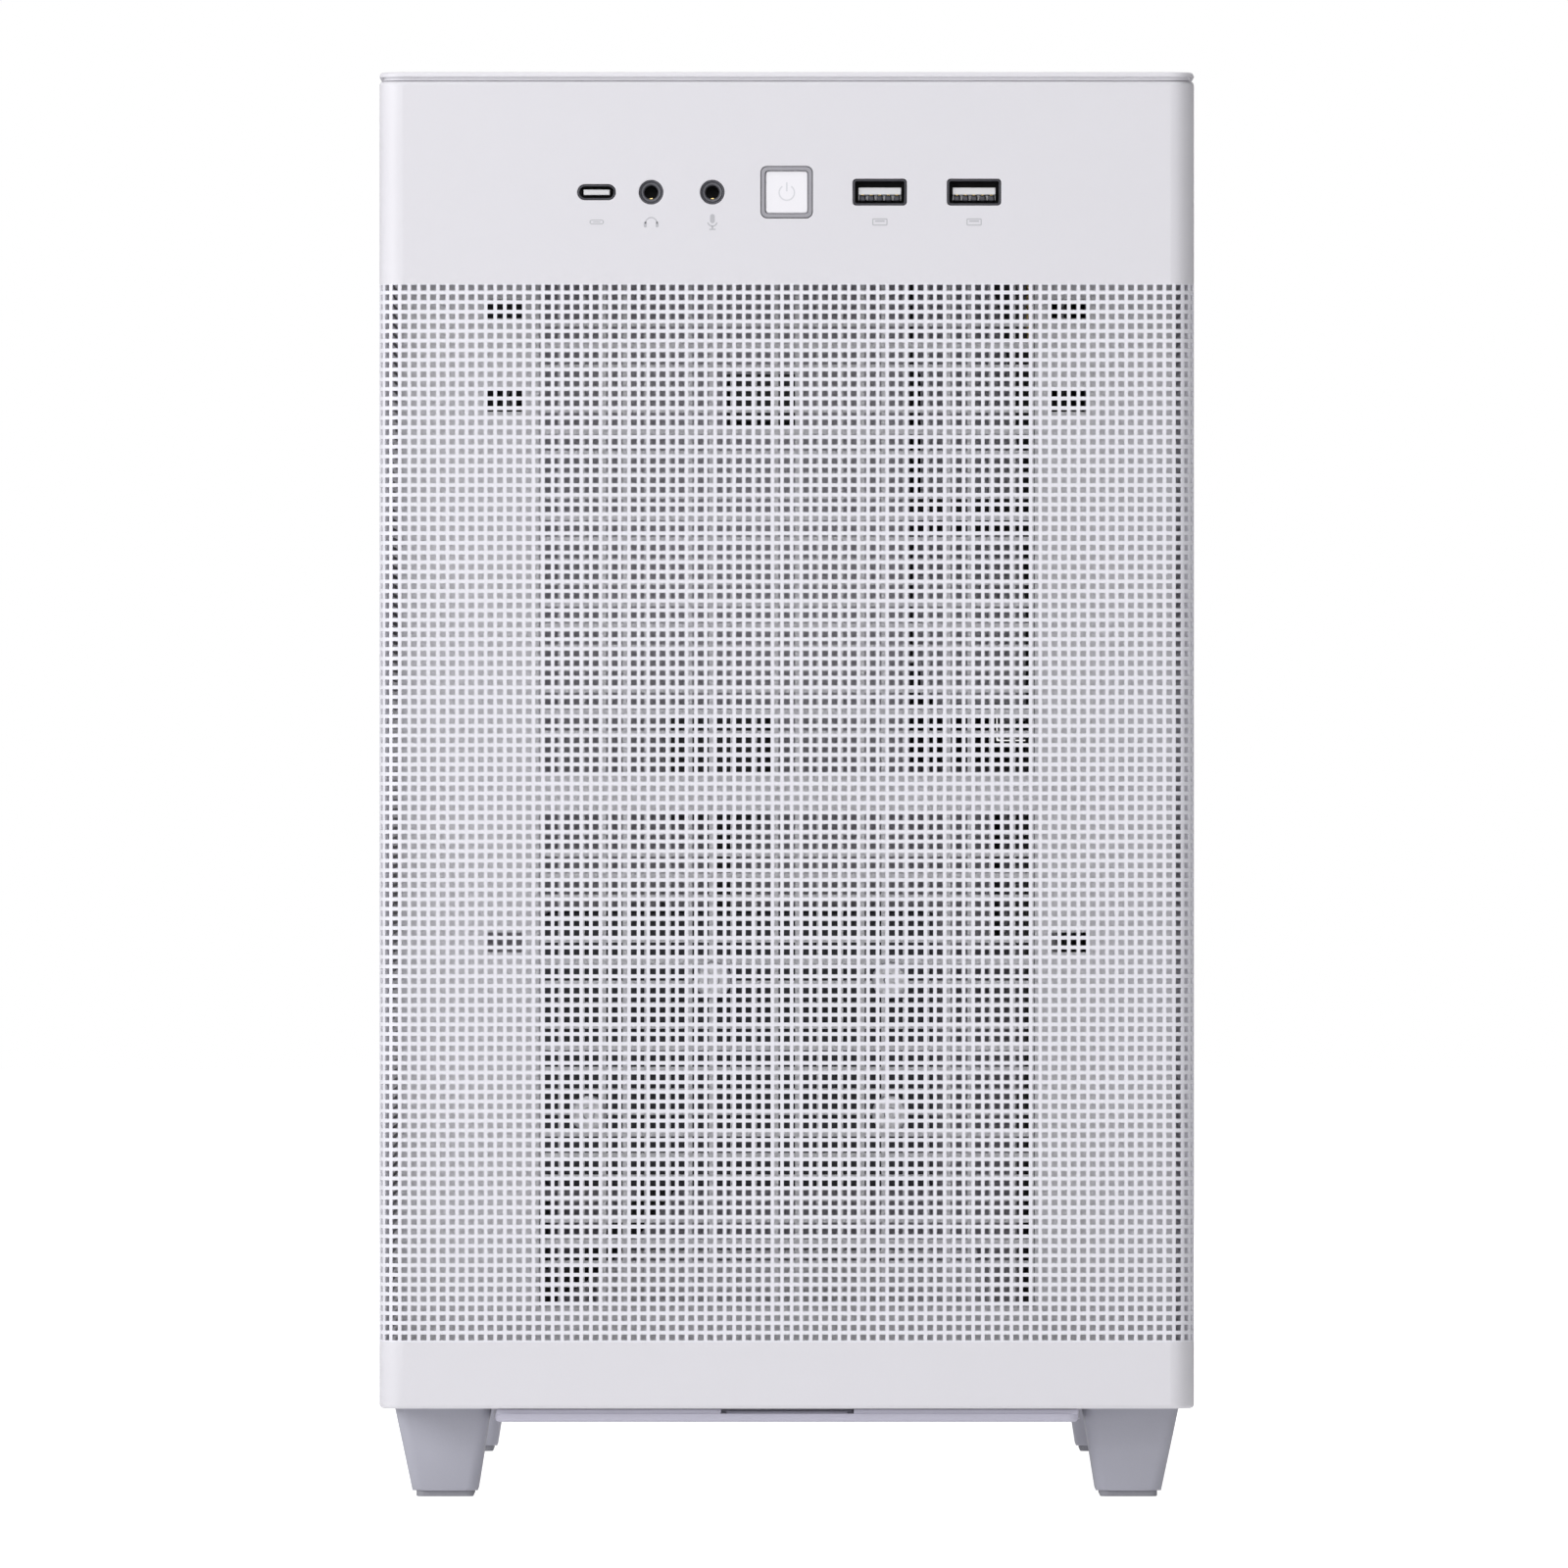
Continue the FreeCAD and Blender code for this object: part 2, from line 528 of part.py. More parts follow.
stem = rod("stem", "y", (0, port_front + " + 4", level), 9.5, "plunger_radius")
node("power_button", join("power_button", [cap, stem]))

# ---------------------------------------------------------------- fans


def fan_frame(name, half, thick, bore, hub):
    """A square frame round a bore, with the motor's hub on four struts, along its own Z from 0."""
    block = box(name + "_block", both(half), both(half), (0, thick))
    holes = [rod(name + "_bore", "z", (0, 0, -1), "(%s) + 2" % thick, bore)]
    for x in (-52.5, 52.5):
        for y in (-52.5, 52.5):
            holes.append(rod(name + "_screw_hole", "z", (x, y, -1), "(%s) + 2" % thick, 2.2))
    struts = [rod(name + "_hub", "z", (0, 0, 0), 4, hub)]
    for turn in range(4):
        angle = math.radians(45 + 90 * turn)
        near = size["fan_hub"] - 1
        corner = FreeCAD.Vector(near * math.cos(angle) + 1.6 * math.sin(angle),
                                near * math.sin(angle) - 1.6 * math.cos(angle), 0)
        strut = doc.addObject("Part::Box", name + "_strut")
        strut.setExpression("Length", bind("fan_bore - fan_hub + 1.5"))
        strut.Width = 3.2
        strut.Height = 3
        strut.Placement = FreeCAD.Placement(corner, FreeCAD.Rotation(45 + 90 * turn, 0, 0))
        struts.append(strut)
    return join(name, [cut(name + "_ring", block, holes)] + struts)


def rotor(name, hub, tip, low, high, blades, chord):
    """A hub with flat pitched blades, turning about its own Z."""
    pitch = FreeCAD.Rotation(FreeCAD.Vector(1, 0, 0), 38)
    solid = Part.makeCylinder(hub, high - low, FreeCAD.Vector(0, 0, low))
    for index in range(blades):
        blade = Part.makeBox(tip - hub + 2, chord, 1.4, FreeCAD.Vector(hub - 2, -chord / 2, -0.7))
        blade.Placement = FreeCAD.Placement(FreeCAD.Vector(0, 0, (low + high) / 2), pitch)
        blade.rotate(FreeCAD.Vector(), FreeCAD.Vector(0, 0, 1), 360.0 * index / blades)
        solid = solid.fuse(blade)
    return feature(name, solid.removeSplitter())


hub, tip, half_fan = size["fan_hub"], size["blade_tip"], "fan_side / 2"
thick = size["fan_thick"]
rear_fan_y = size["chassis_rear_y"] - size["sheet"]
# the rear and cooler fans face the front with their open side, so their struts are at the rear
facing_front = FreeCAD.Rotation(FreeCAD.Vector(1, 0, 0), 90)
rear_spot = FreeCAD.Vector(size["rear_fan_x"], rear_fan_y, size["rear_fan_level"])
cooler_back = size["cpu_y"] - 26
cooler_x = size["board_face"] - 94
cooler_spot = FreeCAD.Vector(cooler_x, cooler_back, size["cpu_level"])
for label, spot in (("rear_fan", rear_spot), ("cooler_fan", cooler_spot)):
    frame_item = fan_frame(label + "_frame", half_fan, "fan_thick", "fan_bore", "fan_hub")
    frame_item.Placement = FreeCAD.Placement(spot, facing_front)
    node(label + "_frame", frame_item)
    rotor_item = rotor(label + "_rotor", hub, tip, 5, thick - 1, 9, 21)
    rotor_item.Placement = FreeCAD.Placement(spot, facing_front)
    node(label + "_rotor", rotor_item)

# ---------------------------------------------------------------- power supply
supply_right = "supply_left + supply_wide"
supply_high = "supply_low + supply_tall"
supply_rear = "supply_front_y + supply_length"
fan_y = size["supply_front_y"] + size["supply_length"] / 2
fan_z = size["supply_low"] + size["supply_tall"] / 2
supply_block = box("supply_block", ("supply_left", supply_right), ("supply_front_y", supply_rear),
                   ("supply_low", supply_high))
supply_hollow = box("supply_hollow", ("supply_left + sheet", supply_right + " - sheet"),
                    ("supply_front_y + sheet", supply_rear + " - sheet"),
                    ("supply_low + sheet", supply_high + " - sheet"))
supply_bore = rod("supply_bore", "x", ("supply_left - 1", fan_y, fan_z), 5, "fan_bore")
rocker_window = box("rocker_window", (-16, 4), ("supply_front_y - 1", "supply_front_y + 5"), (270, 284))
socket_window = box("socket_window", (-31, -4), ("supply_front_y - 1", "supply_front_y + 5"), (180, 200))
supply_shell = cut("supply_shell", supply_block, [supply_hollow, supply_bore, rocker_window, socket_window])
node("supply_casing", supply_shell)
supply_fan = fan_frame("supply_fan_frame", half_fan, "fan_thick", "fan_bore", "fan_hub")
inward = FreeCAD.Rotation(FreeCAD.Vector(0, 1, 0), -90)
supply_spot = FreeCAD.Vector(size["supply_left"] + size["sheet"] + thick, fan_y, fan_z)
supply_fan.Placement = FreeCAD.Placement(supply_spot, inward)
node("supply_fan_frame", supply_fan)
supply_rotor = rotor("supply_fan_rotor", hub, tip, 5, thick - 1, 11, 19)
supply_rotor.Placement = FreeCAD.Placement(supply_spot, inward)
node("supply_fan_rotor", supply_rotor)

# the rocker switch tilts about a pin along X in a small well behind the casing's front face
well = box("rocker_well", (-16, 4), ("supply_front_y", "supply_front_y + 12"), (270, 284))
well_hollow = box("rocker_hollow", (-15, 3), ("supply_front_y - 1", "supply_front_y + 10"), (271, 283))
socket_block = box("socket_block", (-31, -4), ("supply_front_y", "supply_front_y + 18"), (180, 200))
inlet_plug = box("inlet_plug", (-29.5, -5.5), ("supply_front_y - 17", "supply_front_y"), (170, 198))
rocker_housing = cut("rocker_housing", well, [well_hollow])
node("supply_sockets", group("supply_sockets", [rocker_housing, socket_block, inlet_plug]))
rocker_pin = rod("rocker_pin", "x", (-14.5, "supply_front_y + 4", 277), 17, 3.2)
rocker_face = box("rocker_face", (-14.5, 2.5), ("supply_front_y - 0.6", "supply_front_y + 2.6"), (272, 282))
node("supply_rocker", join("supply_rocker", [rocker_pin, rocker_face]))

bracket_y = ("supply_front_y - sheet", "supply_front_y")
bracket_plate = box("bracket_plate", ("supply_left - 5", supply_right + " + 5"), bracket_y,
                    ("supply_low - 5", supply_high + " + 3"))
bracket_window = box("bracket_window", ("supply_left + 5", supply_right + " - 5"),
                     ("supply_front_y - 3", "supply_front_y + 2"), ("supply_low + 5", supply_high + " - 5"))
bracket_webs = [box("bracket_web", limits, (front_in, "supply_front_y - sheet"),
                    ("supply_low - 5", supply_high + " + 3"))
                for limits in (("supply_left - 5", "supply_left - 5 + sheet"),
                               (supply_right + " + 5 - sheet", supply_right + " + 5"))]
bracket_open = cut("bracket_open", bracket_plate, [bracket_window])
node("supply_bracket", join("supply_bracket", [bracket_open] + bracket_webs))

# ---------------------------------------------------------------- motherboard
board_front = "board_rear_y - board_side"
board_high = "board_low + board_side"
node("motherboard", box("motherboard", ("board_face", "board_face + board_thick"),
                        (board_front, "board_rear_y"), ("board_low", board_high)))
standoffs = []
for y in (size["board_rear_y"] - 6.35, size["board_rear_y"] - 163.8, size["board_rear_y"] - 233):
    for z in (size["board_low"] + 6.5, size["board_low"] + 78.9, size["board_low"] + 233.8):
        standoffs.append(rod("standoff", "x", ("board_face + board_thick", y, z),
                             "tray_left - board_face - board_thick", 3))
node("standoffs", group("standoffs", standoffs))

face = "board_face"
sockets = [
    box("cpu_frame", (face + " - 6", face), ("cpu_y - 27", "cpu_y + 27"),
        ("cpu_level - 30", "cpu_level + 30")),
    box("main_power_header", (face + " - 11", face), (board_front + " + 3", board_front + " + 13"),
        (228, 280)),
    box("cpu_power_header", (face + " - 11", face), (145, 165),
        (board_high + " - 12", board_high + " - 2")),
    box("port_header", (face + " - 9", face), (50, 75), ("board_low + 2", "board_low + 9")),
]
for index in range(2):
    middle = "memory_y + memory_pitch * %d" % index
    sockets.append(box("memory_slot", (face + " - 8", face), (middle + " - 3.4", middle + " + 3.4"),
                       (199, 335)))
for index in (0, 2):
    middle = "slot_first - slot_pitch * %d" % index
    sockets.append(box("card_slot", (face + " - 11", face), (80, 169),
                       (middle + " - 3.6", middle + " + 3.6")))
node("board_sockets", group("board_sockets", sockets))

modules = []
for index in range(2):
    middle = "memory_y + memory_pitch * %d" % index
    modules.append(box("memory", (face + " - 39", face + " - 8"), (middle + " - 2.4", middle + " + 2.4"),
                       (200.5, 333.5)))
node("memory_modules", group("memory_modules", modules))

# rear ports stand on the board's rear edge; the shield fills the opening round them
ports = []
port_rear = "chassis_rear_y + 1"
PORTS = (("audio", 192, 216, 15), ("network", 224, 240, 28), ("usb", 246, 262, 28), ("usb", 268, 284, 15),
         ("video", 290, 312, 15), ("usb", 318, 334, 15))
for kind, low, high, tall in PORTS:
    limits = ("%s - %s" % (face, tall), face)
    block = box(kind + "_block", limits, ("board_rear_y - 18", port_rear), (low, high))
    wells = []
    if kind == "network":
        wells.append(box("network_well", (face + " - 26", face + " - 16"),
                         (port_rear + " - 12", port_rear + " + 1"), (low + 2, high - 2)))
        wells.append(box("usb_well", (face + " - 12", face + " - 7"),
                         (port_rear + " - 9", port_rear + " + 1"), (low + 1.5, high - 1.5)))
    elif kind == "audio":
        for z in (low + 5, high - 5):
            wells.append(rod("audio_well", "y", (face + " - 7.5", port_rear + " - 12", z), 14, "jack_hole"))
    elif kind == "usb" and tall > 20:
        for x in (8, 21):
            wells.append(box("usb_well", (face + " - %s" % (x + 2.5), face + " - %s" % (x - 2.5)),
                             (port_rear + " - 9", port_rear + " + 1"), (low + 1.5, high - 1.5)))
    else:
        wells.append(box(kind + "_well", (face + " - 10", face + " - 5.2"),
                         (port_rear + " - 9", port_rear + " + 1"), (low + 1.5, high - 1.5)))
    ports.append(cut(kind + "_port", block, wells))
node("rear_ports", group("rear_ports", ports))
shield_sheet = box("shield_sheet", ("shield_left + 0.2", "shield_right - 0.2"), (rear_in, "chassis_rear_y"),
                   ("shield_low + 0.2", "shield_high - 0.2"))
shield_holes = [box("shield_hole", ("%s - %s - 0.3" % (face, tall), face + " + 2"),
                    (rear_in + " - 1", "chassis_rear_y + 1"), (low - 0.3, high + 0.3))
                for kind, low, high, tall in PORTS]
node("io_shield", cut("io_shield", shield_sheet, shield_holes))

# ---------------------------------------------------------------- processor cooler
cpu_y, cpu_z = size["cpu_y"], size["cpu_level"]
base_top = size["board_face"] - 6
fin_top = size["board_face"] - 150
pipes, legs = [], []
PIPE, PIPE_BEND = 3, 14
for index, y in enumerate((cpu_y - 13.5, cpu_y - 4.5, cpu_y + 4.5, cpu_y + 13.5)):
    reach = 40 if index % 2 else 30
    path = [(fin_top, y, cpu_z - reach), (base_top - 7, y, cpu_z - reach),
            (base_top - 7, y, cpu_z + reach), (fin_top, y, cpu_z + reach)]
    pipes.append(tube("heat_pipe", path, PIPE, PIPE_BEND))
    for z in (cpu_z - reach, cpu_z + reach):
        legs.append(Part.makeCylinder(PIPE, 140, FreeCAD.Vector(fin_top - 1, y, z), FreeCAD.Vector(1, 0, 0)))
block = Part.makeBox(12, 40, 42, FreeCAD.Vector(base_top - 12, cpu_y - 20, cpu_z - 21))
for pipe in pipes:
    block = block.fuse(pipe.Shape)
for pipe in pipes:
    doc.removeObject(pipe.Name)
node("cooler_block", feature("cooler_block", block.removeSplitter()))
FINS, FIN_PITCH, FIN_THICK = 34, 3.2, 0.6
fins = [Part.makeBox(FIN_THICK, 50, 120,
                     FreeCAD.Vector(fin_top + 4 + FIN_PITCH * index, cpu_y - 25, cpu_z - 60))
        for index in range(FINS)]
spine_length = FIN_PITCH * (FINS - 1) + FIN_THICK
spines = [Part.makeBox(spine_length, 10, FIN_THICK, FreeCAD.Vector(fin_top + 4, cpu_y - 5, z))
          for z in (cpu_z - 60, cpu_z + 60 - FIN_THICK)]
stack = fins[0].multiFuse(fins[1:] + spines)
node("cooler_fins", feature("cooler_fins", stack.cut(Part.makeCompound(legs))))

# ---------------------------------------------------------------- graphics card
card_left, card_front = -36, -14
card_level = size["slot_first"] + 1
card_rear = rear_in + " - 1.2"
card_limits = (card_level, card_level + 1.6)
card_plate = box("card_plate", (card_left, face + " - 13"), (card_front, card_rear), card_limits)
card_edge = box("card_edge", (face + " - 13", face + " - 11.2"), (82, 167), card_limits)
node("card_board", join("card_board", [card_plate, card_edge]))
card_fan_x, card_fan_y = 12, 90
fins = [Part.makeBox(0.8, 200, 17, FreeCAD.Vector(-30 + 3.4 * index, -8, card_level - 20))
        for index in range(25)]
base = Part.makeBox(82.4, 200, 3, FreeCAD.Vector(-30, -8, card_level - 3))
motor = Part.makeCylinder(14, 4, FreeCAD.Vector(card_fan_x, card_fan_y, card_level - 24))
node("card_heat_sink", feature("card_heat_sink", base.multiFuse(fins + [motor])))
shroud_low = card_level - 38
shroud = box("shroud_block", (card_left, 58), (card_front, 214), (shroud_low, card_level))
shroud_inside = box("shroud_inside", (card_left + 2, 56), (card_front + 2, 212),
                    (shroud_low + 2, card_level + 1))
shroud_bore = rod("shroud_bore", "z", (card_fan_x, card_fan_y, shroud_low - 1), 5, "card_bore")
node("card_shroud", cut("card_shroud", shroud, [shroud_inside, shroud_bore]))
card_rotor = rotor("card_fan_rotor", 14, size["card_tip"], -13.5, 0, 9, 17)
card_spot = FreeCAD.Vector(card_fan_x, card_fan_y, card_level - 24.4)
card_rotor.Placement = FreeCAD.Placement(card_spot, FreeCAD.Rotation())
node("card_fan_rotor", card_rotor)
two_slots = ("slot_first - slot_pitch - 9", "slot_first + 9")
bracket_sheet = box("card_bracket_sheet", ("slot_left - 4", "slot_right + 4"),
                    (rear_in + " - 1", rear_in), two_slots)
bracket_tab = box("card_bracket_tab", ("slot_left - 5", "slot_left - 4"),
                  (rear_in + " - 10", rear_in), two_slots)
bracket_ports = [box("card_port", (low, low + 17), (rear_in + " - 2", rear_in + " + 1"), (150.5, 157))
                 for low in (-30, -8, 14, 36)]
bracket_solid = join("card_bracket_solid", [bracket_sheet, bracket_tab])
node("card_bracket", cut("card_bracket", bracket_solid, bracket_ports))
covers = []
for index in (2, 3):
    middle = "slot_first - slot_pitch * %d" % index
    covers.append(join("slot_cover", [
        box("cover_sheet", ("slot_left - 4", "slot_right + 4"), (rear_in + " - 1", rear_in),
            (middle + " - 9.2", middle + " + 9.2")),
        box("cover_tab", ("slot_left - 5", "slot_left - 4"), (rear_in + " - 10", rear_in),
            (middle + " - 9.2", middle + " + 9.2"))]))
node("slot_covers", group("slot_covers", covers))
screws = []
for index in range(4):
    middle = "slot_first - slot_pitch * %d" % index
    screws.append(rod("slot_screw", "x", ("slot_left - 10", rear_in + " - 5", middle), 5, 3.6))

# ---------------------------------------------------------------- drives
disk_right = "disk_left + disk_wide"
disk = box("disk_block", ("disk_left", disk_right), ("disk_front_y", "disk_front_y + disk_long"),
           ("disk_low", "disk_low + disk_tall"))
node("hard_drive", disk)
cradle_y = ("disk_front_y + 20", "disk_front_y + 120")
cradle_side = ("disk_low", "disk_low + 16")
cradle = [box("cradle_base", ("disk_left - 2", disk_right + " + 2"), cradle_y,
              ("disk_low - 1.2", "disk_low")),
          box("cradle_left", ("disk_left - 2", "disk_left - 0.8"), cradle_y, cradle_side),
          box("cradle_right", (disk_right + " + 0.8", disk_right + " + 2"), cradle_y, cradle_side)]
for x in ("disk_left + 8", disk_right + " - 8"):
    for y in ("disk_front_y + 30", "disk_front_y + 110"):
        cradle.append(rod("cradle_grommet", "z", (x, y, floor_in), "disk_low - 1.2 - floor_low - sheet", 5))
node("drive_bracket", join("drive_bracket", cradle))
node("solid_state_drive", box("solid_state_drive", (-62, 38), (front_in + " + 4", front_in + " + 11"),
                              (78, 147.9)))
for x, z in ((-18.6, 130.5), (26.1, 130.5), (-50, 96.8), (26.1, 96.8)):
    screws.append(rod("drive_screw", "y", (x, front_in, z), 4, 4.8))
node("case_screws", group("case_screws", screws))

# ---------------------------------------------------------------- mains inlet and cables
well_block = box("inlet_block", both("inlet_wide / 2 - 0.2"), ("chassis_rear_y - 22", "chassis_rear_y"),
                 both("inlet_tall / 2 - 0.2"))
flange = box("inlet_flange", both("inlet_wide / 2 + 3"), ("chassis_rear_y", "chassis_rear_y + 2.5"),
             both("inlet_tall / 2 + 2"))
well_hollow = box("inlet_hollow", (-12, 12), ("chassis_rear_y - 15", "chassis_rear_y + 4"), (-8, 8))
pins = [box("inlet_pin", (x - 1, x + 1), ("chassis_rear_y - 15", "chassis_rear_y - 4"), (z - 2, z + 2))
        for x, z in ((-7, -1), (0, 1.5), (7, -1))]
inlet_shell = cut("inlet_shell", join("inlet_solid", [well_block, flange]), [well_hollow])
inlet = join("power_inlet", [inlet_shell] + pins)
inlet_spot = FreeCAD.Vector(size["inlet_x"], 0, size["inlet_level"])
inlet.Placement = FreeCAD.Placement(inlet_spot, FreeCAD.Rotation())
node("power_inlet", inlet)

# each cable's route, from the piece that it leaves to the piece that it enters
inlet_back = size["chassis_rear_y"] - 22
supply_back = size["supply_front_y"] + size["supply_length"]
plug_y, plug_low = size["supply_front_y"] - 9, 170
header_x = size["board_face"] - 11
header_y = size["board_rear_y"] - size["board_side"] + 8
cord_radius, main_radius, lead_radius = 3.5, 4.5, 3
node("extension_cord", tube("extension_cord", [
    (size["inlet_x"], inlet_back, size["inlet_level"]), (size["inlet_x"], 168, size["inlet_level"]),
    (-79, 122, 44), (-81, 64, 31), (-84, 0, 29.2), (-85, -62, 29.8), (-81, -116, 34),
    (-68, -158, 46), (-42, -181, 64), (-19, plug_y, 96), (-17.5, plug_y, 134),
    (-17.5, plug_y, plug_low)], cord_radius))
main_cable = tube("main_power_cable", [
    (5, supply_back, 250), (5, -25, 250), (15, -16, 251), (36, header_y, 250), (header_x, header_y, 250)],
    main_radius)
cpu_cable = tube("cpu_power_cable", [
    (16, supply_back, 290), (16, -14, 290), (18, 14, 303), (23, 42, 322), (26, 75, 333.5), (26, 118, 335),
    (33, 146, 334.5), (50, 155, 334), (header_x, 155, 334)], lead_radius)
node("power_cables", group("power_cables", [main_cable, cpu_cable]))
node("front_port_cable", tube("front_port_cable", [
    (52, size["chassis_front_y"] - 3.2, 317), (52, -188, 317), (57, -167, 302), (62, -155, 268),
    (64, -146, 225), (64, -135, 180), (64, -122, 136), (64, -105, 95), (64, -78, 60), (64, -35, 42),
    (64, 10, 38), (64, 45, 46), (64, 62, 71), (64, 62, size["board_low"] + 2)], lead_radius))

# ---------------------------------------------------------------- checks and files
doc.recompute()
bad = [item.Name for item in doc.Objects if "Invalid" in item.State or "Error" in item.State]
if bad:
    raise RuntimeError("objects that failed: " + ", ".join(bad))
for label, item in nodes.items():
    if item.Shape.isNull() or not item.Shape.isValid() or not item.Shape.Solids:
        raise RuntimeError("bad shape: " + label)
if len(nodes) > 60:
    raise RuntimeError("too many sub-parts: %d" % len(nodes))
os.makedirs("parts", exist_ok=True)
for label, item in nodes.items():
    item.Shape.exportStep(os.path.join("parts", label + ".step"))
print(len(nodes), "sub-parts written")
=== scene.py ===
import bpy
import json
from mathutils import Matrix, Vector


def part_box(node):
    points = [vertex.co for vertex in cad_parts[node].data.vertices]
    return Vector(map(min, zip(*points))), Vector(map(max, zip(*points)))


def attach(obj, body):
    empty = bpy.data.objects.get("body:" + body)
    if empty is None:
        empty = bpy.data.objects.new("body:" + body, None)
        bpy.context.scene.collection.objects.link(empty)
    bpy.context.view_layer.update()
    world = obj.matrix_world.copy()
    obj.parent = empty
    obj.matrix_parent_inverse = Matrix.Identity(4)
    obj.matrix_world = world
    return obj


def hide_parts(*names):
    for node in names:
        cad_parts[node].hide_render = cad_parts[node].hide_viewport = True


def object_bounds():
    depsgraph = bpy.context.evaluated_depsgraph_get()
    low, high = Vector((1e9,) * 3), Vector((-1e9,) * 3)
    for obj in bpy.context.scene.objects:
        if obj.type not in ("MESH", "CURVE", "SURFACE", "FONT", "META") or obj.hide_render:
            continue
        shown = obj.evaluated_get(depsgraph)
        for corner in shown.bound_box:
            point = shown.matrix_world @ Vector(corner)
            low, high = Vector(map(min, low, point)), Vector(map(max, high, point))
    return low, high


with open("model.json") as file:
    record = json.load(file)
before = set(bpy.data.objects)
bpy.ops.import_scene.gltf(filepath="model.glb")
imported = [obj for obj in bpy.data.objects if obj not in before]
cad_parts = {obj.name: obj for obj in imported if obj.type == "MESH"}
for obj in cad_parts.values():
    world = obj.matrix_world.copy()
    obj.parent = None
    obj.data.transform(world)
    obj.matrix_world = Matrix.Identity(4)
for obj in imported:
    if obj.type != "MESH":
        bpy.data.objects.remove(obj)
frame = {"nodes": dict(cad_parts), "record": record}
cad_box = [list(corner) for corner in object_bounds()]

import json
import math

import bmesh
import bpy
import numpy as np
from mathutils import Vector
from mathutils.geometry import tessellate_polygon

MM = 0.001
BAKE_MAP = "OFBake"
scene = bpy.context.scene
slot_of_node = {part["node"]: part["material_slot"] for part in frame["record"]["subparts"]}
bodies = frame["record"]["behaviour"]["bodies"]
body_of_node = {node: body for body, members in bodies.items() for node in members}


def span(node):
    """A CAD node's box in millimetres: its lowest and its highest corner."""
    low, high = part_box(node)
    return np.array(low) / MM, np.array(high) / MM


# ---------------------------------------------------------------- materials


def add_node(tree, kind, values=None, sources=None):
    """A new node, its inputs set or linked by name or number."""
    made = tree.nodes.new("ShaderNode" + kind)
    for key, value in (values or {}).items():
        made.inputs[key].default_value = value
    for key, source in (sources or {}).items():
        tree.links.new(source, made.inputs[key])
    return made


SLOW_SHARE = 0.65


def surface(name, colour, roughness, metallic=0.0, grain=1400.0, depth=0.02, mottle=0.03, patches=60.0,
            spread=0.08, coat=0.0, specular=0.5, stretch=(1, 1, 1)):
    """A material with a fine grain in its relief and slow, slight changes of colour and gloss."""
    mat = bpy.data.materials.new(name)
    mat.use_nodes = True
    tree = mat.node_tree
    shader = tree.nodes["Principled BSDF"]
    shader.inputs["Metallic"].default_value = metallic
    shader.inputs["Specular IOR Level"].default_value = specular
    shader.inputs["Coat Weight"].default_value = coat
    shader.inputs["Coat Roughness"].default_value = 0.25
    place = add_node(tree, "TexCoord").outputs["Object"]
    place = add_node(tree, "Mapping", {"Scale": stretch}, {"Vector": place}).outputs["Vector"]
    slow = add_node(tree, "TexNoise", {"Scale": patches, "Detail": 3.0}, {"Vector": place}).outputs["Fac"]
    fine = add_node(tree, "TexNoise", {"Scale": grain, "Detail": 2.0}, {"Vector": place}).outputs["Fac"]
    part = add_node(tree, "Math", {1: SLOW_SHARE}, {0: slow})
    part.operation = "MULTIPLY"
    both = add_node(tree, "Math", {1: 1 - SLOW_SHARE}, {0: fine, 2: part.outputs["Value"]})
    both.operation = "MULTIPLY_ADD"
    darker = (*[c * (1 - mottle) for c in colour], 1)
    lighter = (*[min(1, c * (1 + mottle)) for c in colour], 1)
    tint = add_node(tree, "MixRGB", {"Color1": darker, "Color2": lighter}, {"Fac": both.outputs["Value"]})
    limits = {"To Min": max(0.02, roughness - spread), "To Max": min(1.0, roughness + spread)}
    gloss = add_node(tree, "MapRange", limits, {"Value": slow})
    bump = add_node(tree, "Bump", {"Strength": 0.6, "Distance": depth * MM}, {"Height": fine})
    tree.links.new(tint.outputs["Color"], shader.inputs["Base Color"])
    tree.links.new(gloss.outputs["Result"], shader.inputs["Roughness"])
    tree.links.new(bump.outputs["Normal"], shader.inputs["Normal"])
    return mat


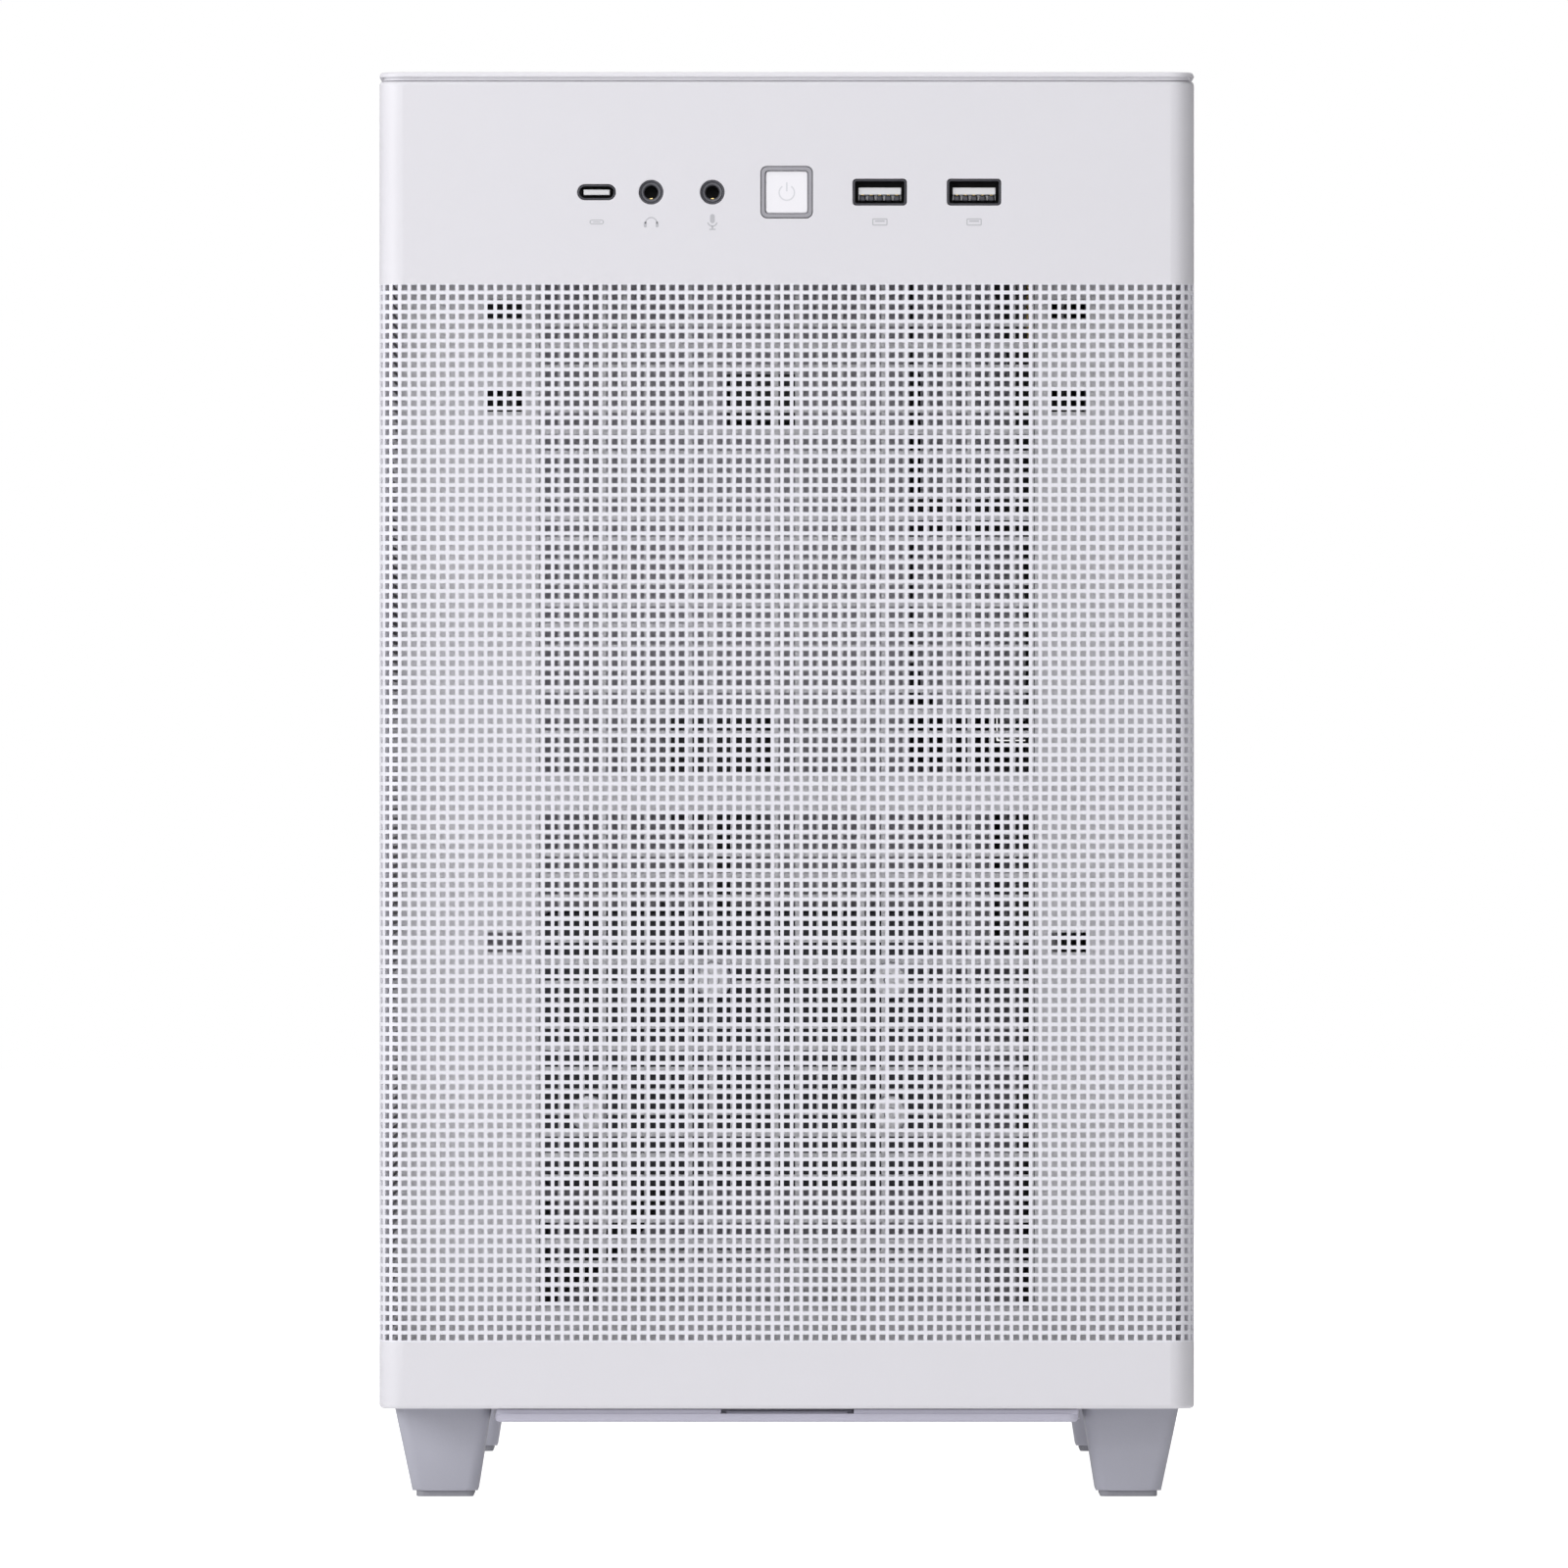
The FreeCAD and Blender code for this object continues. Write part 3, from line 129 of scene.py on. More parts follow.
MATERIALS = {
    "white_steel": surface("powder_coat", (0.64, 0.63, 0.67), 0.5, grain=1500, depth=0.03, mottle=0.02),
    # a lighter copy of the white powder coat for the front mesh: painted light that brightens the mesh
    "mesh_steel_painted_light": surface("mesh_powder_coat_painted_light", (0.70, 0.695, 0.75), 0.5, grain=1500, depth=0.03, mottle=0.02),
    # a much lighter copy of the white powder coat for the chassis behind the panels: painted light that
    # stands for light reaching it through the holes
    "inner_steel": surface("inner_powder_coat_painted_light", (0.86, 0.86, 0.88), 0.5, grain=1500, depth=0.03, mottle=0.02),
    "bright_steel": surface("nickel_steel", (0.62, 0.62, 0.64), 0.32, 1.0, grain=900, depth=0.01,
                            stretch=(1, 1, 0.1)),
    "white_plastic": surface("white_plastic", (0.76, 0.75, 0.79), 0.42, grain=2200, depth=0.02),
    "black_plastic": surface("black_plastic", (0.018, 0.018, 0.021), 0.45, grain=1800, depth=0.03,
                             mottle=0.15),
    "grey_plastic": surface("foot_plastic", (0.363, 0.363, 0.42), 0.5, grain=1600, depth=0.04, mottle=0.05),
    "rubber": surface("foot_rubber", (0.26, 0.26, 0.29), 0.85, grain=1200, depth=0.06, mottle=0.08),
    "filter_plastic": surface("filter_plastic", (0.455, 0.445, 0.53), 0.45, grain=1900, depth=0.03),
    "filter_net": surface("filter_net", (0.11, 0.11, 0.12), 0.8, grain=2600, depth=0.08, mottle=0.25),
    "board_black": surface("solder_mask", (0.012, 0.014, 0.016), 0.35, grain=700, depth=0.02, mottle=0.3,
                           patches=220, coat=0.2),
    "dark_metal": surface("dark_metal", (0.05, 0.05, 0.058), 0.38, 0.8, grain=1200, depth=0.02, mottle=0.1),
    "jack_plastic": surface("jack_plastic", (0.10, 0.10, 0.115), 0.45, grain=1800, depth=0.02),
    "bezel_plastic": surface("bezel_plastic", (0.27, 0.265, 0.295), 0.35, grain=2000, depth=0.015),
    "brass": surface("brass", (0.62, 0.45, 0.18), 0.3, 1.0, grain=1500, depth=0.01),
    "memory_metal": surface("heat_spreader", (0.66, 0.66, 0.70), 0.38, 0.9, grain=1400, depth=0.02),
    "copper": surface("plated_copper", (0.66, 0.40, 0.28), 0.25, 1.0, grain=900, depth=0.01, mottle=0.08),
    "aluminium": surface("aluminium", (0.66, 0.66, 0.68), 0.34, 1.0, grain=1100, depth=0.015,
                         stretch=(1, 0.12, 1)),
    "cable_sheath": surface("cable_sheath", (0.016, 0.016, 0.018), 0.55, grain=1500, depth=0.08, mottle=0.3),
    "gold": surface("gold_contacts", (0.83, 0.62, 0.25), 0.25, 1.0, grain=900, depth=0.01),
    "ink": surface("printed_ink", (0.43, 0.43, 0.46), 0.55, grain=2600, depth=0.01),
    "faint_ink": surface("faint_ink", (0.60, 0.60, 0.64), 0.5, grain=2600, depth=0.01),
    "tongue": surface("port_tongue", (0.62, 0.62, 0.64), 0.4, grain=2200, depth=0.015),
    "chip": surface("chip_resin", (0.02, 0.02, 0.022), 0.5, grain=2400, depth=0.03, mottle=0.2),
    "blue_tongue": surface("blue_tongue", (0.03, 0.12, 0.36), 0.4, grain=2200, depth=0.015),
    "teal_ring": surface("audio_ring", (0.10, 0.34, 0.30), 0.4, grain=2200, depth=0.015),
    # the backs of the ports: real black plastic, made darker than the black plastic as painted shade deep in
    # the ports
    "well_painted_shade": surface("port_back_painted_shade", (0.006, 0.006, 0.008), 0.6, grain=1500, depth=0.03, mottle=0.2),
}


def wear(piece, slot, body, *nodes, look=None):
    """Give a piece its material, looked up by its slot or look, attach it to the body it rides and hide the
    CAD nodes it stands for.
    """
    piece.data.materials.clear()
    piece.data.materials.append(MATERIALS[look or slot])
    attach(piece, body)
    if nodes:
        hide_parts(*nodes)
    return piece


# ---------------------------------------------------------------- mesh builders, in millimetres
AXES = {"x": (1, 2, 0), "y": (0, 2, 1), "z": (0, 1, 2)}


def face_at(axis, level, way=1, centre=(0, 0, 0)):
    """A placing rule for pieces drawn face on: u and v across the axis, depth from level along it."""
    one, two, along = AXES[axis]

    def place(u, v, depth):
        point = [0, 0, 0]
        point[one] = centre[one] + u
        point[two] = centre[two] + v
        point[along] = level + way * depth
        return np.stack(np.broadcast_arrays(*point), 1)

    return place


def shade(mesh, angle):
    """Smooth up to an angle, with the faces square to an axis kept flat; no angle makes every face flat."""
    if not angle:
        mesh.shade_flat()
        return
    mesh.shade_smooth()
    mesh.set_sharp_from_angle(angle=math.radians(angle))
    normals = np.empty(3 * len(mesh.polygons), np.float32)
    mesh.polygons.foreach_get("normal", normals)
    square = np.abs(normals.reshape(-1, 3)).max(1) > 0.99999
    mesh.polygons.foreach_set("use_smooth", ~square)


def as_object(name, mesh):
    """A new object in the scene with this mesh."""
    piece = bpy.data.objects.new(name, mesh)
    scene.collection.objects.link(piece)
    return piece


def from_bmesh(name, build, angle=35):
    """An object from an edit mesh, smooth up to an angle."""
    mesh = bpy.data.meshes.new(name)
    bmesh.ops.recalc_face_normals(build, faces=build.faces)
    build.to_mesh(mesh)
    build.free()
    shade(mesh, angle)
    return as_object(name, mesh)


def merge(name, pieces):
    """Several pieces as one object, each with its own shading."""
    build = bmesh.new()
    for piece in pieces:
        piece.data.transform(piece.matrix_world)
        build.from_mesh(piece.data)
        bpy.data.objects.remove(piece)
    mesh = bpy.data.meshes.new(name)
    build.to_mesh(mesh)
    build.free()
    return as_object(name, mesh)


def case_part(name, pieces, slot, *nodes, look=None):
    """Several pieces as one object that rides the case."""
    return wear(merge(name, pieces), slot, "case", *nodes, look=look)


def block(name, low, high, bevel=0.0, steps=2, angle=35):
    """A box between two corners with rounded edges."""
    build = bmesh.new()
    low, high = np.minimum(low, high), np.maximum(low, high)
    made = bmesh.ops.create_cube(build, size=1)
    for vert in made["verts"]:
        vert.co = Vector([(low[k] + high[k]) / 2 + vert.co[k] * (high[k] - low[k]) for k in range(3)]) * MM
    if bevel:
        bmesh.ops.bevel(build, geom=build.edges[:], offset=bevel * MM, segments=steps, profile=0.5,
                        affect="EDGES", clamp_overlap=True)
    return from_bmesh(name, build, angle)


def sheet_grid(name, u_lines, v_lines, solid, place, thick, angle=0):
    """A closed sheet over a grid of cells, open where a cell isn't solid."""
    u_lines, v_lines = np.asarray(u_lines, float), np.asarray(v_lines, float)
    rows, cols = len(u_lines), len(v_lines)
    u, v = np.meshgrid(u_lines, v_lines, indexing="ij")
    points = [place(u.ravel(), v.ravel(), np.full(rows * cols, depth)) for depth in (0.0, thick)]
    verts = np.concatenate(points)
    cell_u, cell_v = np.nonzero(solid)
    corner = cell_u * cols + cell_v
    back = rows * cols
    faces = [np.stack([corner, corner + cols, corner + cols + 1, corner + 1], 1)]
    far = corner + back
    faces.append(np.stack([far, far + 1, far + cols + 1, far + cols], 1))
    padded = np.zeros((rows + 1, cols + 1), bool)
    padded[1:-1, 1:-1] = solid
    sides = ((-1, 0, 0, 1), (1, 0, cols + 1, cols), (0, -1, cols, 0), (0, 1, 1, cols + 1))
    for step_u, step_v, first, second in sides:
        open_side = ~padded[cell_u + 1 + step_u, cell_v + 1 + step_v]
        edge = corner[open_side]
        faces.append(np.stack([edge + first, edge + second, edge + second + back, edge + first + back], 1))
    faces = np.concatenate(faces)
    used, faces = np.unique(faces, return_inverse=True)
    faces = faces.reshape(-1, 4)
    verts = verts[used] * MM
    mesh = bpy.data.meshes.new(name)
    mesh.vertices.add(len(verts))
    mesh.vertices.foreach_set("co", verts.astype(np.float32).ravel())
    mesh.loops.add(faces.size)
    mesh.loops.foreach_set("vertex_index", faces.astype(np.int32).ravel())
    mesh.polygons.add(len(faces))
    mesh.polygons.foreach_set("loop_start", np.arange(0, faces.size, 4, dtype=np.int32))
    mesh.update(calc_edges=True)
    flat = np.stack([np.tile(u.ravel(), 2), np.tile(v.ravel(), 2)], 1)[used][faces.ravel()]
    flat -= flat.min(0)
    layer = mesh.uv_layers.new(name=BAKE_MAP)
    layer.data.foreach_set("uv", (flat / flat.max()).astype(np.float32).ravel())
    shade(mesh, angle)
    return as_object(name, mesh)


def polar(centre, axis, radius, angle, offset):
    """A point about an axis through a centre, an offset along it."""
    one, two, along = AXES[axis]
    point = [0, 0, 0]
    point[one] = centre[one] + radius * math.cos(angle)
    point[two] = centre[two] + radius * math.sin(angle)
    point[along] = centre[along] + offset
    return point


def hole_lines(low, high, count, pitch, hole):
    """Grid lines from low to high round a centred row of holes."""
    first = (low + high) / 2 - pitch * (count - 1) / 2 - hole / 2
    lines = [low]
    for index in range(count):
        lines += [first + pitch * index, first + pitch * index + hole]
    return lines + [high]


def hole_mask(u_lines, v_lines):
    """Solid everywhere but in every second cell each way."""
    solid = np.ones((len(u_lines) - 1, len(v_lines) - 1), bool)
    solid[1::2, 1::2] = False
    return solid


def perforated(name, u_lines, v_lines, place, thick, angle=0):
    """A sheet with an opening in every second cell each way."""
    return sheet_grid(name, u_lines, v_lines, hole_mask(u_lines, v_lines), place, thick, angle)


def inset(loop, amount):
    """A closed outline moved to its left by an amount, its corners mitred."""
    points = np.asarray(loop, float)
    ahead = np.roll(points, -1, 0) - points
    ahead /= np.linalg.norm(ahead, axis=1)[:, None]
    behind = np.roll(ahead, 1, 0)
    left = np.stack([-ahead[:, 1], ahead[:, 0]], 1)
    left_behind = np.stack([-behind[:, 1], behind[:, 0]], 1)
    total = left + left_behind
    return points + total * (amount / (1 + (left * left_behind).sum(1)))[:, None]


def plate(name, outline, holes, thick, place, bevel=0.0, steps=3, hole_bevel=None, angle=35):
    """A flat closed plate with holes, its face's edges rounded. Every outline runs anticlockwise."""
    loops = [np.asarray(outline, float)] + [np.asarray(hole, float)[::-1] for hole in holes]
    verts, faces, fronts = [], [], []
    for index, loop in enumerate(loops):
        edge = bevel if index == 0 or hole_bevel is None else hole_bevel
        rings = [(1, 0)]
        if edge:
            rings = [(math.sin(a), 1 - math.cos(a)) for a in np.linspace(0, math.pi / 2, steps + 1)]
        first = len(verts)
        for out, down in rings:
            ring = inset(loop, edge * (1 - out)) if edge else loop
            verts += [(x, y, edge * down) for x, y in ring]
        verts += [(x, y, thick) for x, y in loop]
        count = len(loop)
        for level in range(len(rings)):
            for k in range(count):
                one, two = first + level * count + k, first + level * count + (k + 1) % count
                faces.append((one, one + count, two + count, two))
        fronts.append((first, first + len(rings) * count, count))
    flat = [[Vector((verts[first + k][0], verts[first + k][1], 0)) for k in range(count)]
            for first, last, count in fronts]
    order = [first + k for first, last, count in fronts for k in range(count)]
    lower = [last + k for first, last, count in fronts for k in range(count)]
    for triangle in tessellate_polygon(flat):
        faces.append(tuple(order[k] for k in triangle))
        faces.append(tuple(lower[k] for k in reversed(triangle)))
    data = np.array(verts, float)
    where = place(data[:, 0], data[:, 1], data[:, 2]) * MM
    build = bmesh.new()
    made = [build.verts.new(point) for point in where]
    for face in faces:
        try:
            build.faces.new([made[k] for k in face])
        except ValueError:
            pass
    return from_bmesh(name, build, angle)


def rectangle(low_u, low_v, high_u, high_v, radius=0.0, steps=6):
    """An anticlockwise rectangle with rounded corners."""
    if not radius:
        return [(low_u, low_v), (high_u, low_v), (high_u, high_v), (low_u, high_v)]
    centres = ((high_u - radius, low_v + radius, -90), (high_u - radius, high_v - radius, 0),
               (low_u + radius, high_v - radius, 90), (low_u + radius, low_v + radius, 180))
    points = []
    for u, v, start in centres:
        for k in range(steps + 1):
            a = math.radians(start + 90 * k / steps)
            points.append((u + radius * math.cos(a), v + radius * math.sin(a)))
    return points


def oblong(u, v, half_u, half_v, radius=0.0, steps=6):
    """A rectangle about its middle."""
    return rectangle(u - half_u, v - half_v, u + half_u, v + half_v, radius, steps)


def ring_points(u, v, radius, count=32):
    """An anticlockwise circle."""
    return [(u + radius * math.cos(2 * math.pi * k / count), v + radius * math.sin(2 * math.pi * k / count))
            for k in range(count)]


def turned(name, profile, centre, axis="y", count=40, angle=35):
    """A profile of (distance along the axis, radius) pairs turned into a closed solid."""
    build = bmesh.new()
    rings = []
    for offset, radius in profile:
        angles = [2 * math.pi * k / count for k in range(count if radius else 1)]
        rings.append([build.verts.new(Vector(polar(centre, axis, radius, a, offset)) * MM) for a in angles])
    for near, far in zip(rings, rings[1:]):
        for k in range(count):
            ahead = k + 1
            corners = [near[k % len(near)], near[ahead % len(near)], far[ahead % len(far)], far[k % len(far)]]
            kept = list(dict.fromkeys(corners))
            if len(kept) > 2:
                build.faces.new(kept)
    if profile[0] == profile[-1]:
        bmesh.ops.remove_doubles(build, verts=build.verts[:], dist=1e-7)
    else:
        for ring in (rings[0], rings[-1]):
            if len(ring) > 2:
                build.faces.new(ring)
    return from_bmesh(name, build, angle)


def tube(start, end, inner, outer):
    """A pipe's profile for turning."""
    return [(start, inner), (end, inner), (end, outer), (start, outer), (start, inner)]


def bar(name, points, radius, count=8, closed=False):
    """A round wire along a list of points."""
    curve = bpy.data.curves.new(name, "CURVE")
    curve.dimensions = "3D"
    curve.bevel_depth = radius * MM
    curve.bevel_resolution = max(1, count // 4)
    curve.use_fill_caps = True
    line = curve.splines.new("POLY")
    line.points.add(len(points) - 1)
    for spot, point in zip(line.points, points):
        spot.co = (*[c * MM for c in point], 1)
    line.use_cyclic_u = closed
    holder = bpy.data.objects.new(name + "_path", curve)
    scene.collection.objects.link(holder)
    mesh = bpy.data.meshes.new_from_object(holder.evaluated_get(bpy.context.evaluated_depsgraph_get()))
    mesh.name = name
    bpy.data.objects.remove(holder)
    mesh.shade_smooth()
    return as_object(name, mesh)


# ---------------------------------------------------------------- the case's main lines
case_low, case_high = np.array(cad_box[0]) / MM, np.array(cad_box[1]) / MM
half_width, front_y, top_z = case_high[0], case_low[1], case_high[2]
PITCH_ACROSS, PITCH_UP, HOLE = 2.4037, 2.4215, 1.5
CORNER = 6.0
SKIN = 1.0
MESH_SKIN = 0.4
PANEL_MESH_SKIN = 0.7
INK = 0.03
PRINT_THICK = INK * 0.8
panel_low, panel_high = span("front_panel")

# ---------------------------------------------------------------- front panel
wrap_end = panel_high[1]
flat_half = half_width - CORNER
arc_length = CORNER * math.pi / 2
wrap_length = wrap_end - front_y - CORNER
u_end = flat_half + arc_length + wrap_length
LIP = 1.0
lip_arc = LIP * math.pi / 2
LIP_DEPTH = 3.0


def front_place(u, v, depth):
    """The front panel's skin: a face, rounded corners and returns, its upper and lower edges turned in."""
    side = np.sign(u)
    reach = np.abs(u)
    turn = np.clip((reach - flat_half) / CORNER, 0, math.pi / 2)
    back = np.clip(reach - flat_half - arc_length, 0, None)
    over = np.maximum(v - (panel_high[2] - LIP), (panel_low[2] + LIP) - v)
    over = np.clip(over, 0, None)
    bend = np.clip(over / LIP, 0, math.pi / 2)
    inward = depth * np.cos(bend) + LIP * (1 - np.cos(bend)) + np.clip(over - lip_arc, 0, None)
    level = np.clip(v, panel_low[2] + LIP, panel_high[2] - LIP)
    rise = (LIP - depth) * np.sin(bend) * np.sign(v - (panel_low[2] + panel_high[2]) / 2)
    x = side * (np.minimum(reach, flat_half) + (CORNER - inward) * np.sin(turn))
    x = np.where(reach <= flat_half, u, x)
    y = front_y + INK + CORNER - (CORNER - inward) * np.cos(turn) + back
    return np.stack([x, y, level + rise], 1)


mesh_low, mesh_high = 39.7, 305.8
FLAT_COLUMNS = 87
ROWS = 110
TOP_ROW = 304.8
rows_low = TOP_ROW - PITCH_UP * (ROWS - 1) - HOLE / 2
v_mesh = [mesh_low]
for index in range(ROWS):
    v_mesh += [rows_low + PITCH_UP * index, rows_low + PITCH_UP * index + HOLE]
v_mesh.append(mesh_high)
u_core = PITCH_ACROSS * FLAT_COLUMNS / 2
u_mesh = hole_lines(-u_core, u_core, FLAT_COLUMNS, PITCH_ACROSS, HOLE)
# the front mesh wears the lighter copy of the powder coat, painted light
wear(perforated("front_mesh", u_mesh, v_mesh, front_place, MESH_SKIN, 30), "white_steel", "front_cover",
     "front_panel", look="mesh_steel_painted_light")
RETURN_COLUMNS, RETURN_EDGE = 6, 0.6
for name, side in (("front_mesh_left", -1), ("front_mesh_right", 1)):
    lines = [u_core]
    for index in range(RETURN_COLUMNS):
        start = u_core + PITCH_ACROSS * (index + 0.5) - HOLE / 2
        lines += [start, start + HOLE]
    lines += [u_end - RETURN_EDGE, u_end]
    u_side = np.array(lines)
    solid = np.ones((len(u_side) - 1, len(v_mesh) - 1), bool)
    solid[1:2 * RETURN_COLUMNS:2, 1::2] = False
    if side < 0:
        u_side, solid = -u_side[::-1], solid[::-1]
    wear(sheet_grid(name, u_side, v_mesh, solid, front_place, MESH_SKIN, 30), "white_steel", "front_cover",
         look="mesh_steel_painted_light")

PORT_HALF, PORT_LOW, PORT_HIGH = 62.0, 314.0, 344.0
ARC_STEPS, LIP_STEPS = 8, 4
arc_lines = [flat_half + arc_length * k / ARC_STEPS for k in range(ARC_STEPS + 1)]
u_plain = sorted([-u for u in arc_lines + [u_end]] + [-PORT_HALF, PORT_HALF] + arc_lines + [u_end])
edge_lines = [lip_arc * k / LIP_STEPS for k in range(LIP_STEPS + 1)] + [lip_arc + LIP_DEPTH]
v_band = [mesh_high, PORT_LOW, PORT_HIGH] + [panel_high[2] - LIP + step for step in edge_lines]
solid = np.ones((len(u_plain) - 1, len(v_band) - 1), bool)
solid[u_plain.index(-PORT_HALF), 1] = False
wear(sheet_grid("front_band", u_plain, v_band, solid, front_place, SKIN, 30), "white_steel", "front_cover")
v_skirt = [panel_low[2] + LIP - step for step in reversed(edge_lines)] + [mesh_low]
solid = np.ones((len(u_plain) - 1, len(v_skirt) - 1), bool)
wear(sheet_grid("front_skirt", u_plain, v_skirt, solid, front_place, SKIN, 30), "white_steel", "front_cover")

cap_low, cap_high = span("power_button")
port_z = cap_low[2] / 2 + cap_high[2] / 2
bezel = span("button_bezel")
shells = span("usb_shells")
USB = (23.4, 47.1)
USB_SIZE = (13.3, 6.4)
TYPE_C, TYPE_C_SIZE = -47.8, (9.4, 3.7)
JACKS, FRONT_JACK_HOLE = (-34.1, -18.7), 3.08
PORT_GAP = 0.15
usb_half, type_c_half = [(wide / 2, tall / 2) for wide, tall in (USB_SIZE, TYPE_C_SIZE)]
half_bezel = (bezel[1][0] - bezel[0][0]) / 2
holes = [oblong(x, port_z, usb_half[0] + PORT_GAP, usb_half[1] + PORT_GAP, 0.9) for x in USB]
holes.append(oblong(TYPE_C, port_z, type_c_half[0] + PORT_GAP, type_c_half[1] + PORT_GAP, 1.95))
holes += [ring_points(x, port_z, FRONT_JACK_HOLE, 40) for x in JACKS]
holes.append(oblong(0, port_z, half_bezel + PORT_GAP, half_bezel + PORT_GAP, 1.6))
wear(plate("port_face", rectangle(-PORT_HALF, PORT_LOW, PORT_HALF, PORT_HIGH), holes, SKIN,
           face_at("y", front_y + INK), 0.0, 2, 0.2), "white_steel", "front_cover")
tray = []
TRAY_GAP, TRAY_THICK = 0.05, 1.1
tray_half, tray_front = half_width - SKIN - TRAY_GAP, front_y + SKIN + TRAY_GAP
tray_corner = tray_half - CORNER + SKIN
outline = [(-tray_half, wrap_end), (-tray_half, front_y + CORNER), (-tray_corner, tray_front),
           (tray_corner, tray_front), (tray_half, front_y + CORNER), (tray_half, wrap_end)]
for low in (panel_high[2] - 1.2, panel_low[2] + 0.1):
    tray.append(plate("tray", outline, [], TRAY_THICK, face_at("z", low)))
wear(merge("front_tray", tray), "white_steel", "front_cover")

# ---------------------------------------------------------------- side and top panels
SIDE_BORDER, TOP_BORDER = 9.0, 9.0
SIDE_STRIPS, TOP_STRIPS = 3, 2
FOLD_DEPTH, FOLD_INSET = 2, 0.3
for name, side in (("left_panel", -1), ("right_panel", 1)):
    low, high = span(name)
    place = face_at("x", side * half_width, -side)
    count = int((high[1] - low[1] - 2 * SIDE_BORDER) / PITCH_ACROSS)
    rows = int((high[2] - low[2] - 2 * SIDE_BORDER) / PITCH_UP)
    middle_y, middle_z = (low[1] + high[1]) / 2, (low[2] + high[2]) / 2
    half_long, half_tall = count * PITCH_ACROSS / 2, rows * PITCH_UP / 2
    v_lines = hole_lines(middle_z - half_tall, middle_z + half_tall, rows, PITCH_UP, HOLE)
    start = middle_y - half_long
    for part in range(SIDE_STRIPS):
        number = count // SIDE_STRIPS + (1 if part < count % SIDE_STRIPS else 0)
        u_lines = hole_lines(start, start + number * PITCH_ACROSS, number, PITCH_ACROSS, HOLE)
        start += number * PITCH_ACROSS
        wear(perforated("%s_mesh_%d" % (name, part), u_lines, v_lines, place, PANEL_MESH_SKIN), "white_steel",
             body_of_node[name])
    border = plate(name + "_border", rectangle(low[1], low[2], high[1], high[2], 1.0),
                   [oblong(middle_y, middle_z, half_long, half_tall)],
                   SKIN, place, 0.5, 3, 0.0)
    fold_in = half_width - SKIN
    near, far = side * (fold_in - FOLD_DEPTH), side * fold_in
    folds = []
    for bottom, top in ((low[2], low[2] + SKIN), (high[2] - SKIN, high[2])):
        folds.append(block("fold", (near, low[1] + FOLD_INSET, bottom), (far, high[1] - FOLD_INSET, top)))
    for front, back in ((low[1], low[1] + SKIN), (high[1] - SKIN, high[1])):
        folds.append(block("fold", (near, front, low[2] + SKIN), (far, back, high[2] - SKIN)))
    wear(merge(name + "_frame", [border] + folds), "white_steel", body_of_node[name], name)

TOP_SKIN = 1.2
low, high = span("top_panel")
top_place = face_at("z", top_z, -1)
columns = int((high[0] - low[0] - 2 * TOP_BORDER) / PITCH_ACROSS)
if columns % 2 == 0:
    columns -= 1
rows = int((high[1] - low[1] - 2 * TOP_BORDER) / PITCH_UP)
half_u, half_v = columns * PITCH_ACROSS / 2, rows * PITCH_UP / 2
u_lines = hole_lines(-half_u, half_u, columns, PITCH_ACROSS, HOLE)
start = -half_v
for part in range(TOP_STRIPS):
    number = rows // TOP_STRIPS + (rows % TOP_STRIPS if part else 0)
    v_lines = hole_lines(start, start + number * PITCH_UP, number, PITCH_UP, HOLE)
    start += number * PITCH_UP
    wear(perforated("top_panel_mesh_%d" % part, u_lines, v_lines, top_place, PANEL_MESH_SKIN), "white_steel",
         "top_cover")
border = plate("top_border", rectangle(low[0], low[1], high[0], high[1], CORNER, 8),
               [oblong(0, 0, half_u, half_v)], TOP_SKIN, top_place, 0.9, 4, 0.0)
fold_z = high[2] - TOP_SKIN
FOLD_FRONT, FOLD_BACK, FOLD_TALL = -200, 215, 8
folds = [block("top_fold", (x - 0.5, FOLD_FRONT, fold_z - FOLD_TALL), (x + 0.5, FOLD_BACK, fold_z))
         for x in (-94, 94)]
GAP_INSET, SEAT_INSET = 1.1, 2.5
inner = CORNER - GAP_INSET
folds.append(plate("top_seat", rectangle(low[0] + GAP_INSET, low[1] + GAP_INSET, high[0] - GAP_INSET,
                                         high[1] - GAP_INSET, inner, 8),
                   [rectangle(low[0] + SEAT_INSET, low[1] + SEAT_INSET, high[0] - SEAT_INSET,
                              high[1] - SEAT_INSET, CORNER - SEAT_INSET, 8)],
                   fold_z - panel_high[2] - 0.1, face_at("z", fold_z, -1)))
wear(merge("top_frame", [border] + folds), "white_steel", "top_cover", "top_panel")

# ---------------------------------------------------------------- vents behind and under the panels
VENT_PITCH, VENT_HOLE, VENT_SKIN = 5.44, 4.2, 1.0


def vent(place, left, right, under, over, columns, rows):
    """A patch of the chassis' square openings."""
    across = hole_lines(left, right, columns, VENT_PITCH, VENT_HOLE)
    upward = hole_lines(under, over, rows, VENT_PITCH, VENT_HOLE)
    return perforated("vent", across, upward, place, VENT_SKIN)


chassis_face = face_at("y", span("chassis_front")[0][1])
floor_face = face_at("z", span("chassis_floor")[0][2] + 1.0, -1)
deck_face = face_at("z", span("chassis_top")[1][2], -1)
vents = [vent(chassis_face, -62.4, 62.4, 182.2, 306.8, 23, 23),
         vent(chassis_face, -62.4, 62.4, 48.2, 173.1, 23, 23),
         vent(floor_face, -64.8, 64.8, -149.8, 59.8, 23, 38),
         vent(deck_face, -61.8, 61.8, -174.8, 189.8, 22, 66)]
rear_low, rear_high = span("chassis_rear")
guard_y = rear_high[1]
guard_place = face_at("y", guard_y, -1)
SLOT_LEVELS = [174 - 20.32 * index for index in range(4)]
SLOT_LEFT, SLOT_RIGHT, SLOT_HALF = -38, 64, 6.5
